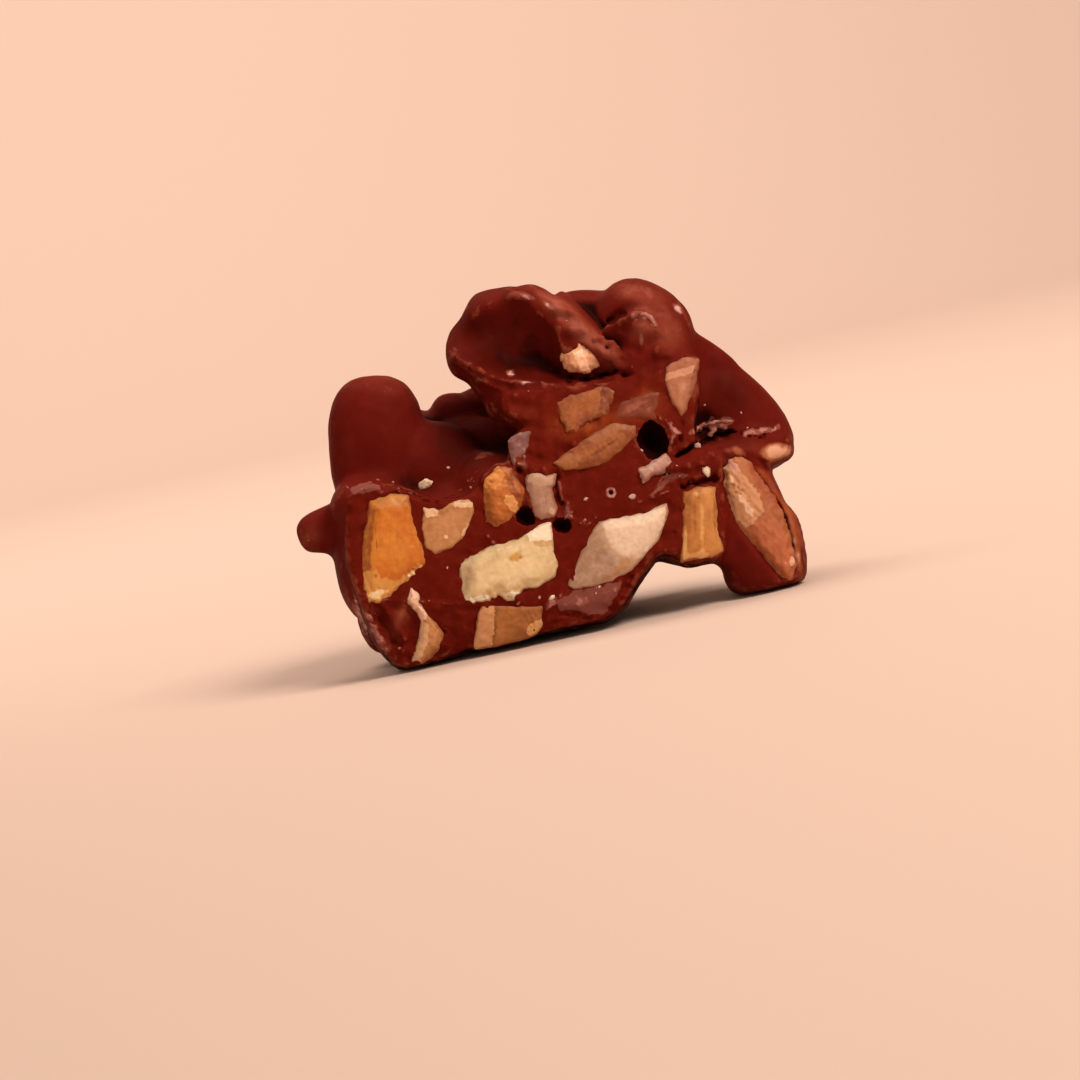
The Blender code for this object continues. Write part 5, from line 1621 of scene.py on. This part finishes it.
# Milk chocolate: poured over the almonds and left to set, then cut with a knife. The outside is a satin red
# brown, the cut is duller and speckled, chocolate smeared thin over an almond is orange brown, and fat bloom
# frosts the edges. Shade in its hollows and in the lee of the top block is painted darker into its colour,
# and light on the ridge, the humps and the knob is painted lighter.
MILK_CHOCOLATE = Finish(
    "milk_chocolate", "#60150C", 0.5,
    layers=(
        Layer("#4E0D07", 0.5, 3.6, soft=0.3, rough=0.55, strength=0.7),
        Layer("#6E2016", 0.34, 1.8, soft=0.3, rough=0.55, strength=0.6),
        # Painted shade where the coat lies in shadow: the lee of the top block, under its lip, the wing and
        # the left.
        Layer("#3A0803", 0.9, 3.0, "deep", 0.4, strength=0.8),
        Layer("#60160A", 1.3, 2.0, "cut", 0.05, rough=0.6),
        Layer("#540D06", 0.46, 3.0, "cut", 0.3, rough=0.6, strength=0.6),
        Layer("#6E1E12", 0.4, 0.35, "cut", 0.14, rough=0.65, strength=0.6),
        Layer("#7C2E14", 0.9, 1.6, "film", 0.25, rough=0.5),
        Layer("#9C5028", 0.46, 1.2, "film", 0.2, rough=0.45),
        # Painted shade in hollows and opened bubbles.
        Layer("#260603", 0.9, 1.4, "hollow_shade", 0.3),
        Layer("#7E3A28", 0.44, 0.6, "edge", 0.16, rough=0.6),
        # Dull reddish scrapes, together with painted light where light falls on the ridge, the humps and the
        # knob.
        Layer("#7C3323", 0.8, 2.4, "scuffed_and_lit", 0.5, rough=0.6),
        Layer("#9C5848", 0.4, 0.6, "scuffed_and_lit", 0.3, rough=0.65, strength=0.6),
        Layer("#985436", 0.9, 1.6, "thin", 0.25, rough=0.5),
        Layer("#D8A284", 0.42, 0.7, "thin", 0.2, rough=0.5),
        Layer("#84443A", 0.8, 0.9, "burr", 0.25, rough=0.6),
        Layer("#B98A7E", 0.46, 0.5, "burr", 0.2, rough=0.7),
        Layer("#74403A", 0.72, 0.6, "lilac", 0.16, rough=0.6),
        Layer("#9A6E66", 0.4, 0.3, "lilac", 0.08, rough=0.7),
        Layer("#7A4238", 0.9, 0.8, "smear", 0.1, rough=0.6),
        Layer("#A86E60", 0.45, 0.5, "smear", 0.1, rough=0.7),
        Layer("#C4968A", 0.24, 0.3, "smear", 0.1, rough=0.7),
        # Fat bloom, and a painted highlight streak down the knob.
        Layer("#8C4E42", 0.72, 0.9, "frost_and_glint", 0.25, rough=0.6),
        Layer("#C4968A", 0.5, 0.5, "frost_and_glint", 0.14, rough=0.75, height=0.01),
    ),
    reliefs=(Relief(1.4, 0.05), Relief(0.4, 0.012), Relief(0.5, 0.025, "cut"), Relief(0.16, 0.01, "cut")),
    subsurface=0.1, bleed=(0.8, 0.25, 0.12), specular=0.015,
)  # fmt: skip
# Fat bloom: cocoa butter that has crept out and set in pale pink flakes.
BLOOM = Finish(
    "fat_bloom", "#C49A8C", 0.75, layers=(Layer("#A4705E", 0.45, 0.4, soft=0.15),), subsurface=0.3,
    bleed=(0.5, 0.3, 0.2)
)  # fmt: skip
# Splinters of the same chocolate, broken off by the knife: paler than the body, as light passes through them.
SPLINTER = Finish(
    "chocolate_splinter", "#7C3626", 0.5, layers=(Layer("#B07A68", 0.42, 0.3, soft=0.1),), subsurface=0.3,
    bleed=(0.8, 0.3, 0.15)
)  # fmt: skip
# Almond crumbs: cream bits of the same flesh, with a little chocolate on them.
CRUMB = Finish(
    "almond_crumb", "#E0C4A4", 0.6, layers=(Layer("#A8785A", 0.45, 0.3, soft=0.15),), subsurface=0.3,
    bleed=(1.2, 0.7, 0.4)
)  # fmt: skip


def flesh_finish(name: str, flesh: Flesh) -> Finish:
    """Almond flesh, cut or broken: a heart, a darker rim, fibres along the grain, tints and bloom."""
    layers = [
        Layer(flesh.rim, 0.9, 2.4, "rim", 0.3),
        Layer(flesh.rim, 0.36, 2.4, soft=0.24),
        Layer(flesh.streak, 0.1 + 0.5 * flesh.stain, 1.6, soft=0.24, stretch=2.0, space=Space.GRAIN, seed=3),
        Layer(flesh.rim, 0.4, 0.5, soft=0.3, stretch=6.0, space=Space.GRAIN, seed=5, strength=0.6),
    ]
    for number, tint in enumerate(flesh.tints):
        layers.append(Layer(tint.colour, 0.8, tint.size, f"tint{number}", tint.soft, tint.rough))
    layers.append(Layer(flesh.rim, 0.42, 0.22, soft=0.3, seed=2, strength=0.4))
    layers.append(Layer(flesh.streak, 0.42, 0.35, soft=0.3, seed=4, strength=0.5))
    if flesh.film:
        layers.append(Layer("#74301A", 0.3 + 0.6 * flesh.film, 1.6, soft=0.3, rough=0.5, strength=0.7))
        layers.append(Layer("#742C14", 1.2, 1.4, "rim", 0.4, rough=0.5))
    if flesh.bloom:
        layers.append(Layer("#C8A898", 0.2 + 0.6 * flesh.bloom, 0.5, soft=0.2, rough=0.75))
    layers.append(Layer("#7A3A22", 0.55, 0.7, "fringe", 0.25, rough=0.45, strength=0.6))
    reliefs = (Relief(0.9, 0.02, stretch=3.0, space=Space.GRAIN), Relief(0.6, 0.016), Relief(0.2, 0.006))
    rough = 0.62 - 0.25 * flesh.gloss
    return Finish(
        name, flesh.heart, rough, tuple(layers), reliefs, 0.3, (1.6, 0.8, 0.4), 0.25 * flesh.gloss, 0.25
    )  # fmt: skip


# ----------------------------------------------------------------------------
# The studio
# ----------------------------------------------------------------------------
@dataclass(frozen=True)
class Lamp:
    """A soft square light. It stands and aims so far right, up and towards the camera from the middle."""

    name: str
    stand: Point3
    side: float
    watts: float
    colour: str = "#FFFFFF"
    aim: Point3 = (0.0, 0.0, 0.0)


@dataclass(frozen=True)
class Studio:
    """A pale peach paper sweep, soft lights and the camera of the photograph."""

    layout: FaceLayout
    target: Point3 = (-1.0, 13.7, 0.0)  # the layout point in the middle of the picture
    distance: float = 0.35
    width: float = 0.108  # what the picture spans at the target
    sensor: float = 36.0
    paper: str = "#CDB3A3"
    room: str = "#FFF0E4"
    glow: float = 0.3
    lamps: tuple[Lamp, ...] = (
        Lamp("key", (0.18, 0.42, 0.28), 0.24, 2.9, "#FFF1E4"),
        Lamp("fill", (-0.1, 0.2, 0.5), 0.5, 0.5, "#FFEDE2"),
        Lamp("backdrop", (-0.3, 0.6, -0.16), 0.6, 7.2, "#FFF0E6", (-0.1, 0.3, -0.8)),
    )

    def turn(self) -> Matrix:
        """Turns what is counted right, up and towards the camera to the row."""
        right, up, into = (Vector(column) for column in self.layout.turn().T)
        return Matrix((right, up, -into)).transposed()

    def middle(self) -> Vector:
        """The target in the row."""
        return Vector(self.layout.to_row(np.array([self.target]))[0])

    def place_camera(self) -> None:
        """Sets the camera square to the cut face, as far off as the photograph's perspective shows."""
        lens = bpy.data.cameras.new("camera")
        lens.sensor_width = self.sensor
        lens.lens = self.sensor * self.distance / self.width
        lens.clip_start = 0.01
        camera = added("camera", lens)
        stand = self.middle() + self.turn() @ Vector((0.0, 0.0, self.distance))
        camera.matrix_world = Matrix.Translation(stand) @ self.turn().to_4x4()
        bpy.context.scene.camera = camera

    def place_lamps(self) -> None:
        """Sets the lamps, each turned to its aim, and an even glow from all round."""
        for lamp in self.lamps:
            light = bpy.data.lights.new(lamp.name, "AREA")
            light.size = lamp.side
            light.energy = lamp.watts
            light.color = linear(lamp.colour)[:3]
            holder = added(lamp.name, light)
            stand, aim = self.turn() @ Vector(lamp.stand), self.turn() @ Vector(lamp.aim)
            turn = (stand - aim).to_track_quat("Z", "Y").to_matrix().to_4x4()
            holder.matrix_world = Matrix.Translation(self.middle() + stand) @ turn
        world = bpy.data.worlds.new("room")
        bpy.context.scene.world = world
        world.use_nodes = True
        background = world.node_tree.nodes["Background"]
        background.inputs["Color"].default_value = linear(self.room)
        background.inputs["Strength"].default_value = self.glow

    def lay_paper(self) -> None:
        """Makes the sweep: a floor that curves up behind the food, in one strip."""
        reach, back, bend, top = 1.2, 0.5, 0.35, 1.6
        arc = np.linspace(0.0, math.pi / 2, 24)
        y = np.concatenate([[-reach], back + bend * np.sin(arc), [back + bend]])
        z = np.concatenate([[0.0], bend * (1.0 - np.cos(arc)), [top]])
        left = np.stack([np.full_like(y, -reach), y, z], axis=1)
        points = np.concatenate([left, left * (-1.0, 1.0, 1.0)])
        rows = np.arange(len(y) - 1)
        faces = np.stack([rows, rows + len(y), rows + len(y) + 1, rows + 1], axis=1)
        mesh = bpy.data.meshes.new("paper")
        mesh.from_pydata(points, [], faces.tolist())
        mesh.shade_smooth()
        # Studio paper: uncoated, pale peach, dull.
        mesh.materials.append(Finish("paper", self.paper, 0.9, specular=0.2).material())
        added("paper", mesh)


# ----------------------------------------------------------------------------
# Assembly
# ----------------------------------------------------------------------------
def aligned(layout: FaceLayout) -> FaceLayout:
    """The layout shifted so that almond_white's front outline meets its solid's lowest X and Y."""
    nut = next(nut for nut in NUTS if nut.name == "almond_white")
    outline = np.array(nut.outline)
    ring = np.column_stack([outline, nut.face(outline[:, 1])])
    gap = np.array(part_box(nut.name)[0]) - layout.to_row(ring).min(0)
    return FaceLayout(layout.lean_deg, layout.recline_deg, layout.corner, (gap[0], gap[1]))


def place(piece: bpy.types.Object, finish: Finish, slot: str, node: str = "") -> None:
    """Dresses a piece, fixes it to the body, and hides the solid that it stands for, if any."""
    piece.data.materials.clear()
    piece.data.materials.append(finish.material())
    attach(piece, "root")
    if node:
        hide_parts(node)
    LOG.info("%s: %d triangles", piece.name, triangle_count(piece))


def main() -> None:
    """Builds the sweet over its solids, then the studio round it."""
    logging.basicConfig(level=logging.INFO, format="%(message)s")
    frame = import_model()
    layout = aligned(FaceLayout())
    chocolate = Chocolate(layout, frame["nodes"]["chocolate"], FINE_STEP)
    place(chocolate.build(), MILK_CHOCOLATE, "milk_chocolate", "chocolate")
    for nut in NUTS:
        place(nut_object(nut, layout, NUT_STEP), flesh_finish(nut.name, nut.flesh), nut.name, nut.name)
    coat = "milk_chocolate"
    loose = ((CRUMBS, CRUMB, "almond_white"), (SPLINTERS, SPLINTER, coat), (FLAKES, BLOOM, coat))
    for scatter, finish, slot in loose:
        place(scatter.build(layout, chocolate.flat, chocolate.front), finish, slot)
    studio = Studio(layout)
    studio.lay_paper()
    studio.place_lamps()
    studio.place_camera()
    bpy.context.scene.view_settings.view_transform = "Standard"


if __name__ == "__main__":
    main()
